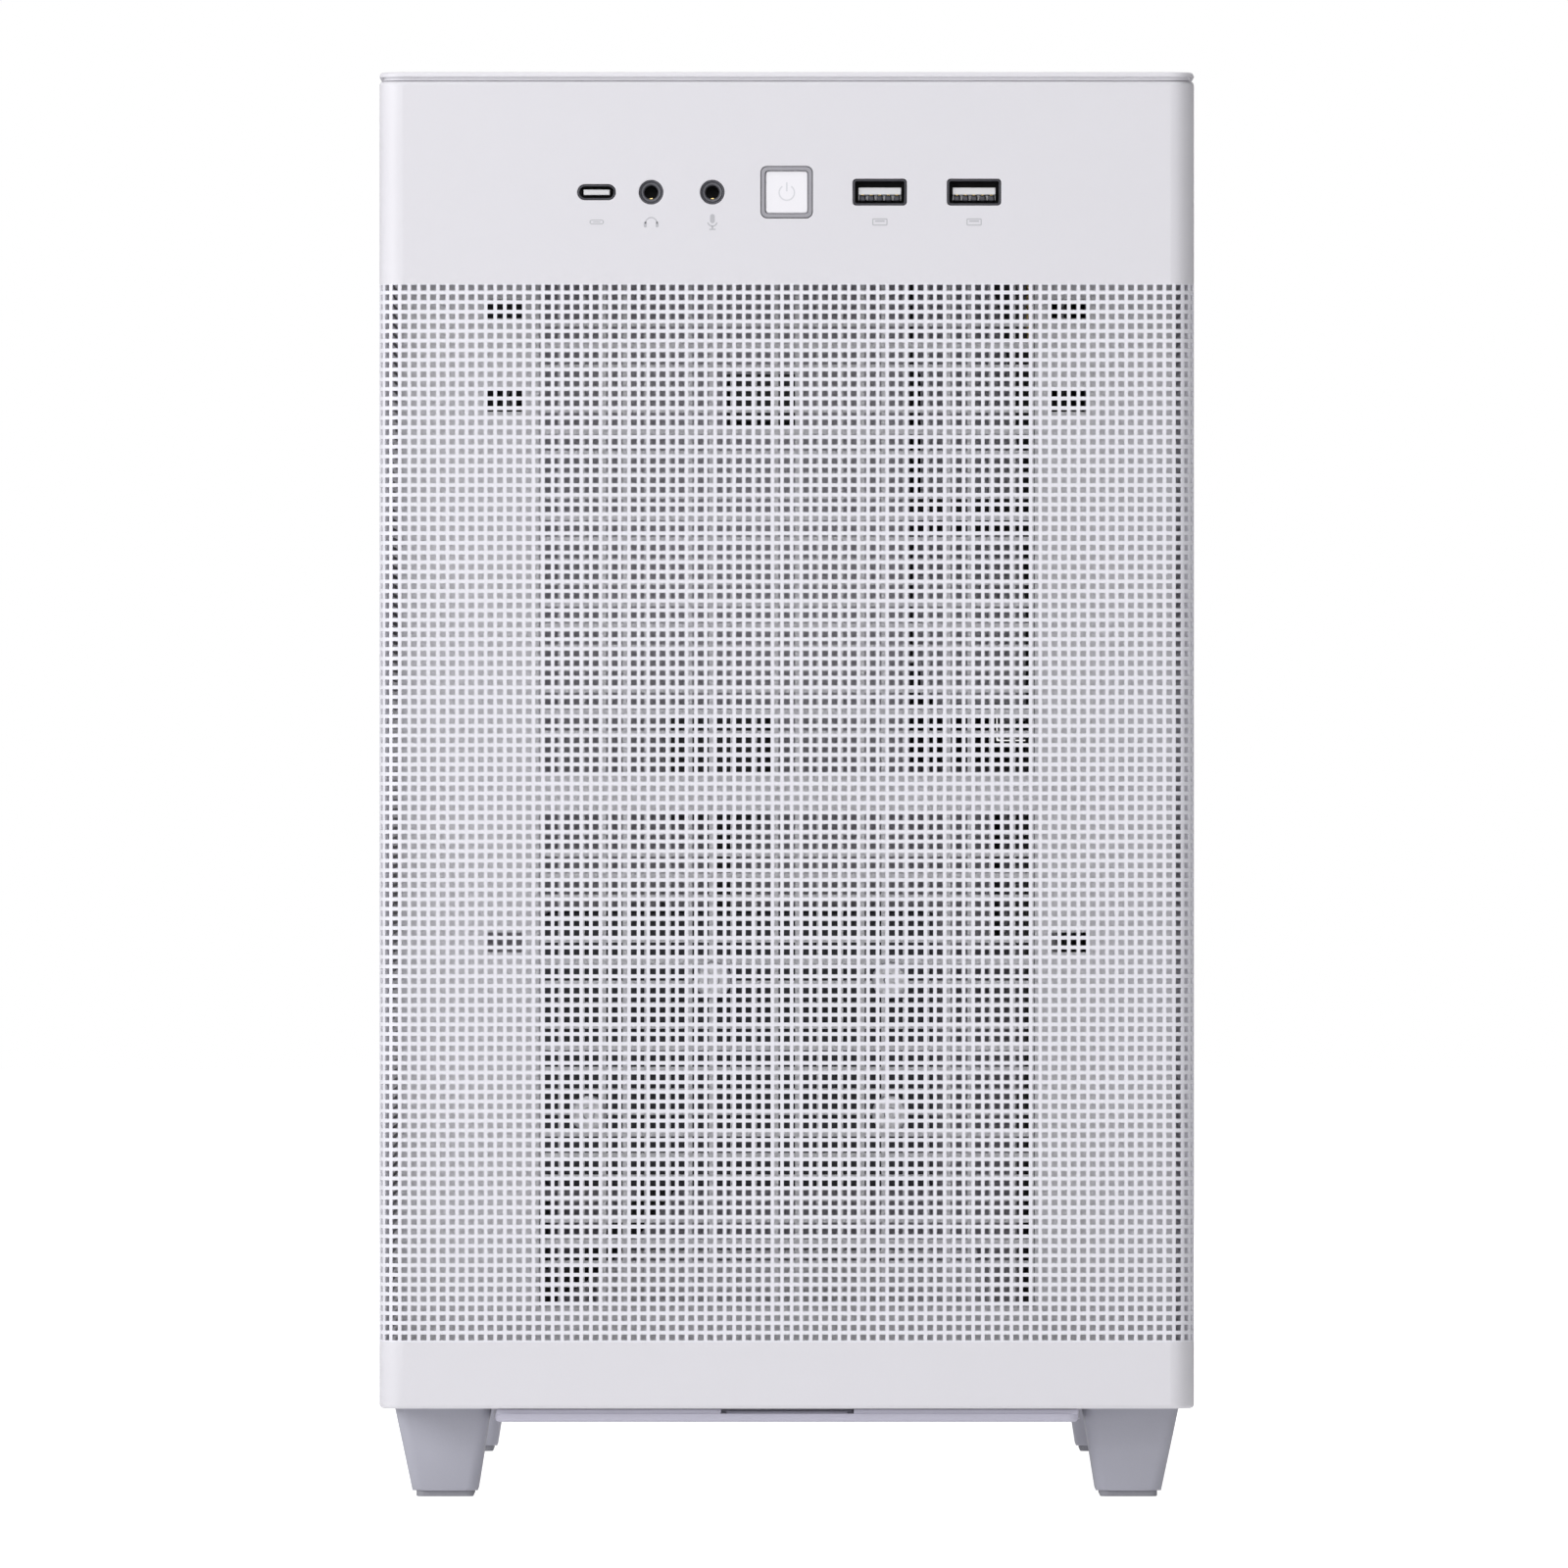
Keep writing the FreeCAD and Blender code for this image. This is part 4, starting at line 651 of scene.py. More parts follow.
REAR_VENTS = ((-46.0, 50.0, 37.0, 54.0, 17, 3), (-93.0, -69.0, 150.0, 208.0, 4, 10))
SHIELD_WINDOW, INLET_WINDOW = (28.3, 185, 72.75, 343.75), (-91.5, 48.25, -64.5, 67.75)
FAN_BORE = 58
fan_low, fan_high = span("rear_fan_rotor")
fan_x, fan_z = (fan_low[0] + fan_high[0]) / 2, (fan_low[2] + fan_high[2]) / 2
windows = [rectangle(SLOT_LEFT, level - SLOT_HALF, SLOT_RIGHT, level + SLOT_HALF, 0.6, 3)
           for level in SLOT_LEVELS]
windows.append(rectangle(*SHIELD_WINDOW, 0.5, 3))
windows.append(rectangle(*INLET_WINDOW, 1.0, 3))
windows.append(ring_points(fan_x, fan_z, FAN_BORE, 64))
for left, right, under, over, columns, rows in REAR_VENTS:
    windows.append(rectangle(left, under, right, over))
    vents.append(vent(guard_place, left, right, under, over, columns, rows))
wear(plate("rear_plate", rectangle(rear_low[0], rear_low[2], rear_high[0], rear_high[2], 1.0, 3), windows,
           rear_high[1] - rear_low[1], guard_place, 0.2, 2, 0.15), "white_steel", "case", "chassis_rear")

guard = []
GUARD_RINGS = ((57.8, 54.5), (48.0, 45.6), (39.0, 36.6), (30.0, 27.6), (21.0, 0.0))
for outer, inner in GUARD_RINGS:
    gaps = [ring_points(fan_x, fan_z, inner, 64)] if inner else []
    guard.append(plate("guard", ring_points(fan_x, fan_z, outer, 64), gaps, 1.0, guard_place, 0.2, 2))
SPOKES, SPOKE_HALF, SPOKE_START, SPOKE_END = 8, 1.6, 20.5, 55
for turn in range(SPOKES):
    a = math.radians(22.5 + 45 * turn)
    ahead, aside = np.array([math.cos(a), math.sin(a)]), np.array([-math.sin(a), math.cos(a)]) * SPOKE_HALF
    near, far = [np.array([fan_x, fan_z]) + ahead * reach for reach in (SPOKE_START, SPOKE_END)]
    corners = [near - aside, far - aside, far + aside, near + aside]
    guard.append(plate("spoke", corners, [], 0.9, face_at("y", guard_y - 0.05, -1)))
# the vents behind the panels wear the lighter copy of the powder coat, painted light
case_part("vent_grids", vents, "white_steel", "chassis_vents", look="inner_steel")
case_part("rear_fan_guard", guard, "white_steel", "chassis_vents")

# ---------------------------------------------------------------- feet
FOOT_LONG, FOOT_RIM, PAD_TALL = 40.0, 1.3, 1.5
FOOT_TOP, FOOT_TOE, PAD = (74.7, 99.05), (78.1, 94.6), (79.1, 93.6)
TOE_TAPER, TOE_ROUND, PAD_INSET = 4.0, 0.7, 5


def foot_outline(side, reach, start, end, radius, steps):
    """A rectangle between two distances from the case's middle plane."""
    near, far = sorted((side * reach[0], side * reach[1]))
    return rectangle(near, start, far, end, radius, steps)


foot_low, foot_high = span("feet")
feet, pads = [], []
for side in (-1, 1):
    for start in (foot_low[1], foot_high[1] - FOOT_LONG):
        build = bmesh.new()
        end = start + FOOT_LONG
        levels = ((PAD_TALL, FOOT_TOE, TOE_TAPER), (foot_high[2] - FOOT_RIM, FOOT_TOP, 0.0),
                  (foot_high[2], FOOT_TOP, 0.0))
        rings = []
        for level, reach, taper in levels:
            outline = foot_outline(side, reach, start + taper, end - taper, 3.0, 6)
            rings.append([build.verts.new(Vector((x, y, level)) * MM) for x, y in outline])
        for near, far in zip(rings, rings[1:]):
            for k in range(len(near)):
                build.faces.new((near[k], near[(k + 1) % len(near)], far[(k + 1) % len(far)], far[k]))
        base = build.faces.new(rings[0])
        build.faces.new(rings[-1])
        bmesh.ops.bevel(build, geom=base.edges[:], offset=TOE_ROUND * MM, segments=3, profile=0.5,
                        affect="EDGES")
        feet.append(from_bmesh("foot", build, 40))
        outline = foot_outline(side, PAD, start + PAD_INSET, end - PAD_INSET, 2.0, 5)
        pads.append(plate("pad", outline, [], PAD_TALL, face_at("z", 0), 0.3, 2))
case_part("foot_blocks", feet, "grey_plastic", "feet")
case_part("foot_rubbers", pads, "rubber", "foot_pads")

# ---------------------------------------------------------------- dust filter
low, high = span("filter_frame")
BORDER, NOSE = 9.0, 17.0
BASE_TALL, TAB_HALF = 2.1, 16.5
upper = low[2] + BASE_TALL - 0.2
window = (low[0] + BORDER, low[1] + NOSE, high[0] - BORDER, high[1] - BORDER)
filter_parts = [plate("filter_base", rectangle(low[0], low[1], high[0], high[1], 2.5),
                      [rectangle(*window, 2.0)], BASE_TALL, face_at("z", low[2]), 0.9, 3)]
for left, right in ((low[0] + 0.3, -TAB_HALF), (TAB_HALF + 0.3, high[0])):
    filter_parts.append(block("filter_nose", (left, low[1] + 0.2, upper),
                              (right, window[1] - 1, high[2]), 0.3))
for half, front, back, top in ((15.3, 1.6, 6.5, low[2] + 2.7), (16.6, 3.6, NOSE - 1, high[2])):
    filter_parts.append(block("filter_tab", (-half, low[1] + front, upper), (half, low[1] + back, top), 0.3))
for x in (low[0] + 4, high[0] - 4):
    filter_parts.append(block("filter_side", (x - 2, window[1], upper), (x + 2, high[1] - 4, high[2]), 0.3))
RIB_HALF, RIBS = 0.8, 8
for index in range(1, RIBS):
    y = window[1] + (window[3] - low[1] - NOSE) * index / RIBS
    filter_parts.append(block("filter_rib", (window[0] - 1, y - RIB_HALF, low[2] + 0.3),
                              (window[2] + 1, y + RIB_HALF, low[2] + 1.5), 0.25))
for x in (-32, 0, 32):
    filter_parts.append(block("filter_rib", (x - RIB_HALF, window[1] - 1, low[2] + 0.35),
                              (x + RIB_HALF, window[3] + 1, low[2] + 1.4), 0.25))
wear(merge("filter_body", filter_parts), "filter_plastic", "dust_filter", "filter_frame")
net_low, net_high = span("filter_mesh")
NET_PITCH, NET_HOLE = 2.2, 1.5
counts = [int((net_high[k] - net_low[k] - 1) / NET_PITCH) for k in (0, 1)]
across, along = [hole_lines(net_low[k], net_high[k], counts[k], NET_PITCH, NET_HOLE) for k in (0, 1)]
net_place = face_at("z", net_high[2] + 0.02, -1)
wear(perforated("filter_net", across, along, net_place, 0.25), "filter_net", "dust_filter", "filter_mesh")

# ---------------------------------------------------------------- front ports and power button
bracket_back = shells[1][1]
shell_front = front_y + 0.25
shell_place = face_at("y", shell_front)
USB_WALL, USB_LONG, TYPE_C_WALL, TYPE_C_LONG = 0.45, 12.5, 0.4, 10
SPRINGS, SPRING_PITCH = 5, 2.15
port_shells, port_tongues, contacts, port_floors = [], [], [], []


def port_box(pieces, name, x, front, low, half, back, high, bevel=0.0):
    """A block in a port: half its width, its front behind the shell's, its heights about the ports' line."""
    corner = (x - half, shell_front + front, port_z + low)
    pieces.append(block(name, corner, (x + half, back, port_z + high), bevel))


for x in USB:
    w, t = usb_half
    opening = oblong(x, port_z, w - USB_WALL, t - USB_WALL, 0.4)
    port_shells.append(plate("usb", oblong(x, port_z, w, t, 0.8), [opening], USB_LONG, shell_place, 0.12, 2))
    tongue_back = shell_front + USB_LONG - 1
    port_box(port_tongues, "tongue", x, 0.9, -0.6, 5.4, tongue_back, 1.2, 0.2)
    port_box(port_tongues, "tongue_root", x, 2.6, -2.0, 5.4, tongue_back, -0.65, 0.1)
    port_box(port_floors, "port_end", x, 11, 0.2 - t, w - 0.2, bracket_back, t - 0.2)
    for k in range(SPRINGS):
        spot = x + (k - (SPRINGS - 1) / 2) * SPRING_PITCH
        port_box(port_shells, "spring", spot, 1.3, -2.3, 0.8, shell_front + 2.5, -0.7, 0.35)
        port_box(contacts, "contact", spot, 1.5, -0.72, 0.35, shell_front + 8, -0.58, 0.04)
w, t = type_c_half
opening = oblong(TYPE_C, port_z, w - TYPE_C_WALL, t - TYPE_C_WALL, t - TYPE_C_WALL - 0.05, 8)
port_shells.append(plate("type_c", oblong(TYPE_C, port_z, w, t, t - 0.05, 8), [opening], TYPE_C_LONG,
                         shell_place, 0.1, 2))
port_box(port_tongues, "tongue", TYPE_C, 0.5, -0.7, 3.3, shell_front + TYPE_C_LONG - 1, 0.7, 0.2)
port_box(port_floors, "port_end", TYPE_C, 8.5, -1.3, 3.6, bracket_back, 1.3)
case_part("port_shells", port_shells, "dark_metal", "usb_shells")
case_part("port_tongues", port_tongues, "white_plastic", "usb_tongues", look="tongue")
case_part("port_contacts", contacts, "brass", look="gold")
# the port backs and jack ends wear the darker colour, painted shade
case_part("port_backs", port_floors, "black_plastic", look="well_painted_shade")

JACK_PROFILE = ((0.9, 1.75), (0.45, 2.05), (0.4, 2.35), (0.75, 2.5), (0.3, 2.85), (0.5, 3.0), (19.5, 3.0),
                (19.5, 1.75), (0.9, 1.75))
jack_rings, jack_wells, jack_springs = [], [], []
for x in JACKS:
    jack_rings.append(turned("jack", JACK_PROFILE, (x, front_y, port_z)))
    jack_wells.append(turned("jack_end", [(14.5, 1.9), (16.0, 1.9)], (x, front_y, port_z)))
    jack_springs.append(block("jack_spring", (x - 0.5, front_y + 4, port_z - 1.72),
                              (x + 0.5, front_y + 9, port_z - 1.3), 0.15))
case_part("jack_sleeves", jack_rings, "jack_plastic", "audio_jacks")
case_part("jack_ends", jack_wells, "black_plastic", look="well_painted_shade")
case_part("jack_springs", jack_springs, "brass", look="gold")

cap_y = cap_low[1]
cap_half = (cap_high[0] - cap_low[0]) / 2
cap_gap = cap_half + 0.1
print_place, cap_place = face_at("y", front_y), face_at("y", cap_y)
wear(plate("bezel_ring", oblong(0, port_z, half_bezel, half_bezel, 1.5),
           [oblong(0, port_z, cap_gap, cap_gap, 0.9)], 8, print_place, 0.15, 3),
     "bezel_plastic", "case", "button_bezel")
cap = plate("cap", oblong(0, port_z, cap_half, cap_half, 0.8), [], 4.7, face_at("y", cap_y + 0.02), 0.35, 3)
stem = turned("stem", [(4.0, 1.6), (13.0, 1.6), (13.2, 1.3)], (0, cap_y, port_z))
wear(merge("button_cap", [cap, stem]), "white_plastic", "power_key", "power_button")


def ink_ring(name, x, z, outer, inner, start, stop, place, steps=28):
    """A flat printed arc."""
    angles = [math.radians(start + (stop - start) * k / steps) for k in range(steps + 1)]
    outline = [(x + outer * math.cos(a), z + outer * math.sin(a)) for a in angles]
    outline += [(x + inner * math.cos(a), z + inner * math.sin(a)) for a in reversed(angles)]
    return plate(name, outline, [], PRINT_THICK, place)


symbol = [ink_ring("arc", 0, port_z - 0.1, 2.1, 1.75, 125, 415, cap_place),
          plate("stroke", oblong(0, port_z + 1.35, 0.18, 1.15, 0.1, 2), [], PRINT_THICK, cap_place)]
wear(merge("button_symbol", symbol), "white_plastic", "power_key", look="faint_ink")

LABEL_Z = 321.3


def mark(x, low, half, high, radius=0.0, inner=None):
    """A printed patch, or with an inner outline a printed frame, its heights about the labels' line."""
    outline = rectangle(x - half, LABEL_Z + low, x + half, LABEL_Z + high, radius, 3 if radius < 0.6 else 6)
    return plate("mark", outline, [inner] if inner else [], PRINT_THICK, print_place)


phones, microphone = JACKS
marks = [ink_ring("band", phones, LABEL_Z - 0.3, 1.55, 1.3, -5, 185, print_place)]
marks += [mark(phones + side * 1.5, -1.3, 0.35, 0.1, 0.25) for side in (-1, 1)]
marks += [mark(microphone, -0.3, 0.6, 2.0, 0.58),
          ink_ring("cup", microphone, LABEL_Z + 0.1, 1.3, 1.0, 190, 350, print_place),
          mark(microphone, -1.75, 0.15, -1.0), mark(microphone, -2.0, 0.8, -1.7)]
for x in USB:
    marks.append(mark(x, -0.9, 1.9, 0.9, 0.3, oblong(x, LABEL_Z, 1.65, 0.65, 0.15, 3)))
    marks.append(mark(x, 0.05, 1.2, 0.4))
marks.append(mark(TYPE_C, -0.6, 1.8, 0.6, 0.6, oblong(TYPE_C, LABEL_Z, 1.55, 0.38, 0.36, 6)))
marks.append(mark(TYPE_C, -0.1, 0.9, 0.1))
wear(merge("port_marks", marks), "white_steel", "front_cover", look="ink")

# ---------------------------------------------------------------- fans


def fan_rotor(name, node, axis, blades, hub, tip):
    """A hub with swept, twisted blades, thin at their edges."""
    low, high = span(node)
    middle = (low + high) / 2
    along = AXES[axis][2]
    depth = high[along] - low[along]
    root, sweep, lean, camber = 0.8, 0.4, 0.84, 0.08
    across_steps, chord_steps = 7, 8
    build = bmesh.new()
    for blade in range(blades):
        sheets = []
        for side in (1, -1):
            sheet = []
            for i in range(across_steps + 1):
                reach = i / across_steps
                radius = hub - root + (tip - hub + root) * reach
                row = []
                for j in range(chord_steps + 1):
                    t = j / chord_steps - 0.5
                    turn = 2 * math.pi * (blade + t * (1.02 - 0.1 * reach)) / blades + sweep * reach ** 1.5
                    rise = depth * (lean * t + camber * math.cos(math.pi * t)) * (1 - 0.1 * reach)
                    thick = 0.2 + 0.5 * (1 - 4 * t * t)
                    point = polar(middle, axis, radius, turn, side * thick - rise)
                    row.append(build.verts.new(Vector(point) * MM))
                sheet.append(row)
            sheets.append(sheet)
            for i in range(across_steps):
                for j in range(chord_steps):
                    build.faces.new((sheet[i][j], sheet[i + 1][j], sheet[i + 1][j + 1], sheet[i][j + 1]))
        upper, lower = sheets
        rim = [(i, 0) for i in range(across_steps)] + [(across_steps, j) for j in range(chord_steps)]
        rim += [(i, chord_steps) for i in range(across_steps, 0, -1)]
        rim += [(0, j) for j in range(chord_steps, 0, -1)]
        for (i, j), (k, m) in zip(rim, rim[1:] + rim[:1]):
            build.faces.new((upper[i][j], upper[k][m], lower[k][m], lower[i][j]))
    vanes = from_bmesh("vanes", build, 50)
    reach = depth / 2
    profile = [(reach, hub - 1.5), (reach, hub), (2.4 - reach, hub), (0.8 - reach, hub - 0.7),
               (-reach, hub - 2.6), (-reach, 8.5), (0.35 - reach, 8.1), (0.35 - reach, 0)]
    return merge(name, [vanes, turned("hub", profile, middle, axis, 56, 30)])


def fan_frame(name, node, axis, bore, hub):
    """A square frame: two flanges, the bore's wall, four posts and the motor's cup on curved struts."""
    low, high = span(node)
    middle = (low + high) / 2
    one, two, along = AXES[axis]
    half, reach = (high[two] - low[two]) / 2, (high[along] - low[along]) / 2
    screw, screw_hole, strut_steps = half - 7.5, 2.2, 8
    flange, wall, post = 3.6, 1.4, 5.2
    corners = [(x * screw, y * screw) for x in (-1, 1) for y in (-1, 1)]
    holes = [ring_points(0, 0, bore, 72)] + [ring_points(x, y, screw_hole, 20) for x, y in corners]
    parts = []
    for start, way in ((low[along], 1), (high[along], -1)):
        parts.append(plate("flange", oblong(0, 0, half, half, 6.0), holes, flange,
                           face_at(axis, start, way, middle), 0.5, 3))
    parts.append(turned("wall", tube(0.5 - reach, reach - 0.5, bore, bore + wall), middle, axis, 72, 40))
    for x, y in corners:
        spot = list(middle)
        spot[one] += x
        spot[two] += y
        parts.append(turned("post", tube(1 - reach, reach - 1, screw_hole, post), spot, axis, 20, 40))
    for turn in range(4):
        path = []
        for k in range(strut_steps + 1):
            radius = hub - 1 + (bore + 1 - hub) * k / strut_steps
            angle = math.radians(45 + 90 * turn) + 0.28 * (k / strut_steps)
            path.append(polar(middle, axis, radius, angle, reach - 1.8))
        parts.append(bar("strut", path, 1.7, 8))
    cup = ((0.1, 0), (0.1, hub - 1.2), (0.6, hub), (3.9, hub), (3.9, hub - 2), (3.9, 0))
    cup = [(reach - depth, radius) for depth, radius in cup]
    parts.append(turned("motor_cup", cup, middle, axis, 48, 40))
    return merge(name, parts)


FAN_HUB, FAN_TIP = 19, 55.5
CARD_FAN_HUB, CARD_FAN_TIP = 14, 39.5
for stem, axis, blades in (("rear_fan", "y", 9), ("cooler_fan", "y", 9), ("supply_fan", "x", 11)):
    rotor, housing = stem + "_rotor", stem + "_frame"
    wear(fan_rotor(stem + "_blades", rotor, axis, blades, FAN_HUB, FAN_TIP), "black_plastic",
         body_of_node[rotor], rotor)
    wear(fan_frame(stem + "_housing", housing, axis, FAN_BORE, FAN_HUB), "black_plastic", "case", housing)
wear(fan_rotor("card_fan_blades", "card_fan_rotor", "z", 11, CARD_FAN_HUB, CARD_FAN_TIP), "black_plastic",
     "card_rotor", "card_fan_rotor")

# ---------------------------------------------------------------- screws


def screw_head(centre, axis, way, radius, tall, knurled=False):
    """A head with a rounded edge, its underside at the centre, growing along way."""
    profile = ((0, 0), (0, radius), (tall * 0.7, radius), (tall * 0.92, radius * 0.93), (tall, radius * 0.8),
               (tall, radius * 0.35), (tall - 0.6, radius * 0.3), (tall - 0.6, 0))
    profile = [(way * rise, out) for rise, out in profile]
    return turned("head", profile, centre, axis, 18 if knurled else 28, 20 if knurled else 35)


FAN_SCREW = 52.5
SLOT_SCREW_X, SLOT_SCREW_Y = -43.2, 216
FRONT_SCREWS = ((-18.6, 130.5), (26.1, 130.5), (-50, 96.8), (26.1, 96.8))
heads = [screw_head((SLOT_SCREW_X, SLOT_SCREW_Y, level), "x", -1, 3.4, 3.2, True) for level in SLOT_LEVELS]
for x in (fan_x - FAN_SCREW, fan_x + FAN_SCREW):
    for z in (fan_z - FAN_SCREW, fan_z + FAN_SCREW):
        heads.append(screw_head((x, guard_y, z), "y", 1, 3.6, 1.7))
front_back = span("chassis_front")[1][1]
BOSS = ((0, 4.4), (4.0, 4.4), (4.0, 3.6))
for x, z in FRONT_SCREWS:
    heads.append(screw_head((x, front_back - 1.05, z), "y", -1, 4.6, 1.6))
    heads.append(turned("boss", BOSS, (x, front_back + 0.02, z), "y", 24))
board_low, board_high = span("motherboard")
BOARD_X = board_low[0]
board_spots = [(board_high[1] - y, board_low[2] + z) for y in (6.35, 163.8, 233) for z in (6.5, 78.9, 233.8)]
heads += [screw_head((BOARD_X, y, z), "x", -1, 2.9, 2.0) for y, z in board_spots]
supply_low, supply_high = span("supply_casing")
SUPPLY_SCREW = 7
for y in (supply_low[1] + SUPPLY_SCREW, supply_high[1] - SUPPLY_SCREW):
    for z in (supply_low[2] + SUPPLY_SCREW, supply_high[2] - SUPPLY_SCREW):
        heads.append(screw_head((supply_low[0], y, z), "x", -1, 3.0, 1.4))
case_part("screw_heads", heads, "bright_steel", "case_screws")

# ---------------------------------------------------------------- motherboard


def on_board(tall=0):
    """A placing rule for a piece drawn on the board, its face that far above the board's."""
    return face_at("x", BOARD_X - tall)


def stand(name, low_y, low_z, high_y, high_z, tall, bevel=0.4, foot=0.0):
    """A block standing on the board's face."""
    return block(name, (BOARD_X - foot - tall, low_y, low_z), (BOARD_X - foot, high_y, high_z), bevel)


holes = [ring_points(y, z, 1.7, 20) for y, z in board_spots]
BOARD_THICK = 1.6
outline = rectangle(board_low[1], board_low[2], board_high[1], board_high[2], 1.5)
circuit_board = plate("circuit_board", outline, holes, BOARD_THICK, on_board(), 0.1, 1)
wear(circuit_board, "board_black", "case", "motherboard")

# each header: its low corner and its high corner in Y and Z, its columns and rows of openings, its height
HEADERS = ((board_low[1] + 3, 228, board_low[1] + 13, 280, 2, 12, 9), (145, 328, 165, 338, 4, 2, 9),
           (50, 98, 75, 105, 10, 2, 8), (150, 311, 162, 315, 4, 1, 7), (-24, 150, -14, 176, 1, 3, 8))
OPEN_SHARE = 0.66
sockets, latches, steel_shells = [], [], []
for low_y, low_z, high_y, high_z, columns, rows, tall in HEADERS:
    wide, high = (high_y - low_y) / columns, (high_z - low_z) / rows
    u_lines = hole_lines(low_y, high_y, columns, wide, wide * OPEN_SHARE)
    v_lines = hole_lines(low_z, high_z, rows, high, high * OPEN_SHARE)
    sockets.append(perforated("header", u_lines, v_lines, on_board(tall), tall - 2))
    sockets.append(stand("header_foot", low_y, low_z, high_y, high_z, 2, 0.1))

MEMORY_Y, MEMORY_LOW, MEMORY_HIGH = (50, 59.4), 199, 335
MEMORY_HALF, LATCH_HALF, SLOT_WALL = 3.4, 3.0, 1.0
for y in MEMORY_Y:
    for side in (-1, 1):
        sockets.append(stand("slot_wall", y + side * (MEMORY_HALF - SLOT_WALL), MEMORY_LOW + 2,
                             y + side * MEMORY_HALF, MEMORY_HIGH - 2, 8, 0.3))
    sockets.append(stand("slot_foot", y - MEMORY_HALF, MEMORY_LOW, y + MEMORY_HALF, MEMORY_HIGH, 3.0, 0.3))
    for z, way in ((MEMORY_LOW, -1), (MEMORY_HIGH, 1)):
        latches.append(block("latch", (BOARD_X - 13, y - LATCH_HALF, z - 2.4),
                             (BOARD_X - 0.5, y + LATCH_HALF, z + 2.4), 0.8, 3))
        latches.append(block("lever", (BOARD_X - 14.5, y - LATCH_HALF, z - 1 + way * 1.5),
                             (BOARD_X - 12, y + LATCH_HALF, z + 1 + way * 2.5), 0.5, 2))
ARMOUR_START, ARMOUR_END, ARMOUR_HALF, ARMOUR_TALL = 80, 169, 3.6, 10.5
for z in (SLOT_LEVELS[0], SLOT_LEVELS[2]):
    for side in (-1, 1):
        steel_shells.append(stand("slot_side", ARMOUR_START, z + side * (ARMOUR_HALF - 1.1),
                                  ARMOUR_END, z + side * ARMOUR_HALF, ARMOUR_TALL, 0.3))
    for low_y in (ARMOUR_START, ARMOUR_END - 3):
        steel_shells.append(stand("slot_end", low_y, z - ARMOUR_HALF, low_y + 3, z + ARMOUR_HALF,
                                  ARMOUR_TALL, 0.4))
    sockets.append(stand("slot_core", 82, z - 2.6, 167, z + 2.6, 7.5, 0.2))
    latches.append(block("card_latch", (BOARD_X - 11, 72, z - 4.2), (BOARD_X - 1, 79.6, z + 4.2), 1.2, 3))
sockets.append(plate("cpu_seat", rectangle(103, 235, 157, 295, 2.5), [], 5.6, on_board(5.6), 0.6, 3))
case_part("board_connectors", sockets, "black_plastic", "board_sockets")
case_part("slot_latches", latches, "white_plastic")
case_part("slot_armour", steel_shells, "bright_steel")

sinks = []
for index in range(9):
    y = 171 + 3.1 * index
    sinks.append(stand("sink_fin", y, 240, y + 2, 322, 20 - abs(index - 4), 0.4, 3))
sinks.append(stand("sink_foot", 170, 238, 199, 324, 4, 0.8, 1.5))
for index in range(6):
    z = 305 + 3.4 * index
    sinks.append(stand("sink_fin", 98, z, 142, z + 2.2, 15, 0.4, 3))
sinks.append(stand("sink_foot", 97, 303, 143, 325, 4, 0.8, 1.5))
CHIPSET = ((-4, 112), (34, 112), (34, 148), (26, 156), (-12, 156), (-12, 120))
grooves = [rectangle(y, 124, y + 2, 144, 0.9, 3) for y in (-2, 6, 14, 22)]
sinks.append(plate("chipset_sink", CHIPSET, grooves, 6, on_board(8), 0.8, 3))
grooves = [rectangle(80 + 9 * k, 202, 82 + 9 * k, 216, 0.9, 3) for k in range(8)]
sinks.append(plate("storage_sink", rectangle(72, 198, 152, 220, 2), grooves, 4.2, on_board(6.2), 0.6, 3))
case_part("board_sinks", sinks, "aluminium")

chips, tins, small = [], [], []
for index in range(9):
    z = 240 + 9.4 * index
    chips.append(stand("choke", 160, z - 3.4, 167, z + 3.4, 5, 0.9))
# each chip: its low corner in Y and Z, its sizes along them, its height
CHIPS = ((-2, 186, 9, 9, 1.2), (20, 205, 14, 14, 1.4), (184, 110, 9, 9, 1.2), (184, 205, 12, 12, 1.4),
         (176, 128, 6, 6, 1), (58, 112, 7, 5, 1.1), (100, 112, 10, 7, 1.2), (-18, 196, 6, 5, 1),
         (8, 300, 5, 4, 1), (80, 226, 6, 6, 1), (24, 180, 7, 7, 1), (204, 150, 8, 8, 1.2))
for low_y, low_z, wide, tall, height in CHIPS:
    chips.append(stand("chip", low_y, low_z, low_y + wide, low_z + tall, height, 0.25))
TIN_PROFILE = ((0, 0), (0, 3.0), (-0.8, 3.15), (-7.2, 3.15), (-7.8, 2.8), (-7.8, 0))
tin_spots = [(176 + 8 * (k % 3), 160 + 9 * (k // 3)) for k in range(9)]
tin_spots += [(70, 250 + 10 * k) for k in range(7)]
for y, z in tin_spots:
    tins.append(turned("tin", TIN_PROFILE, (BOARD_X, y, z), "x", 20, 30))

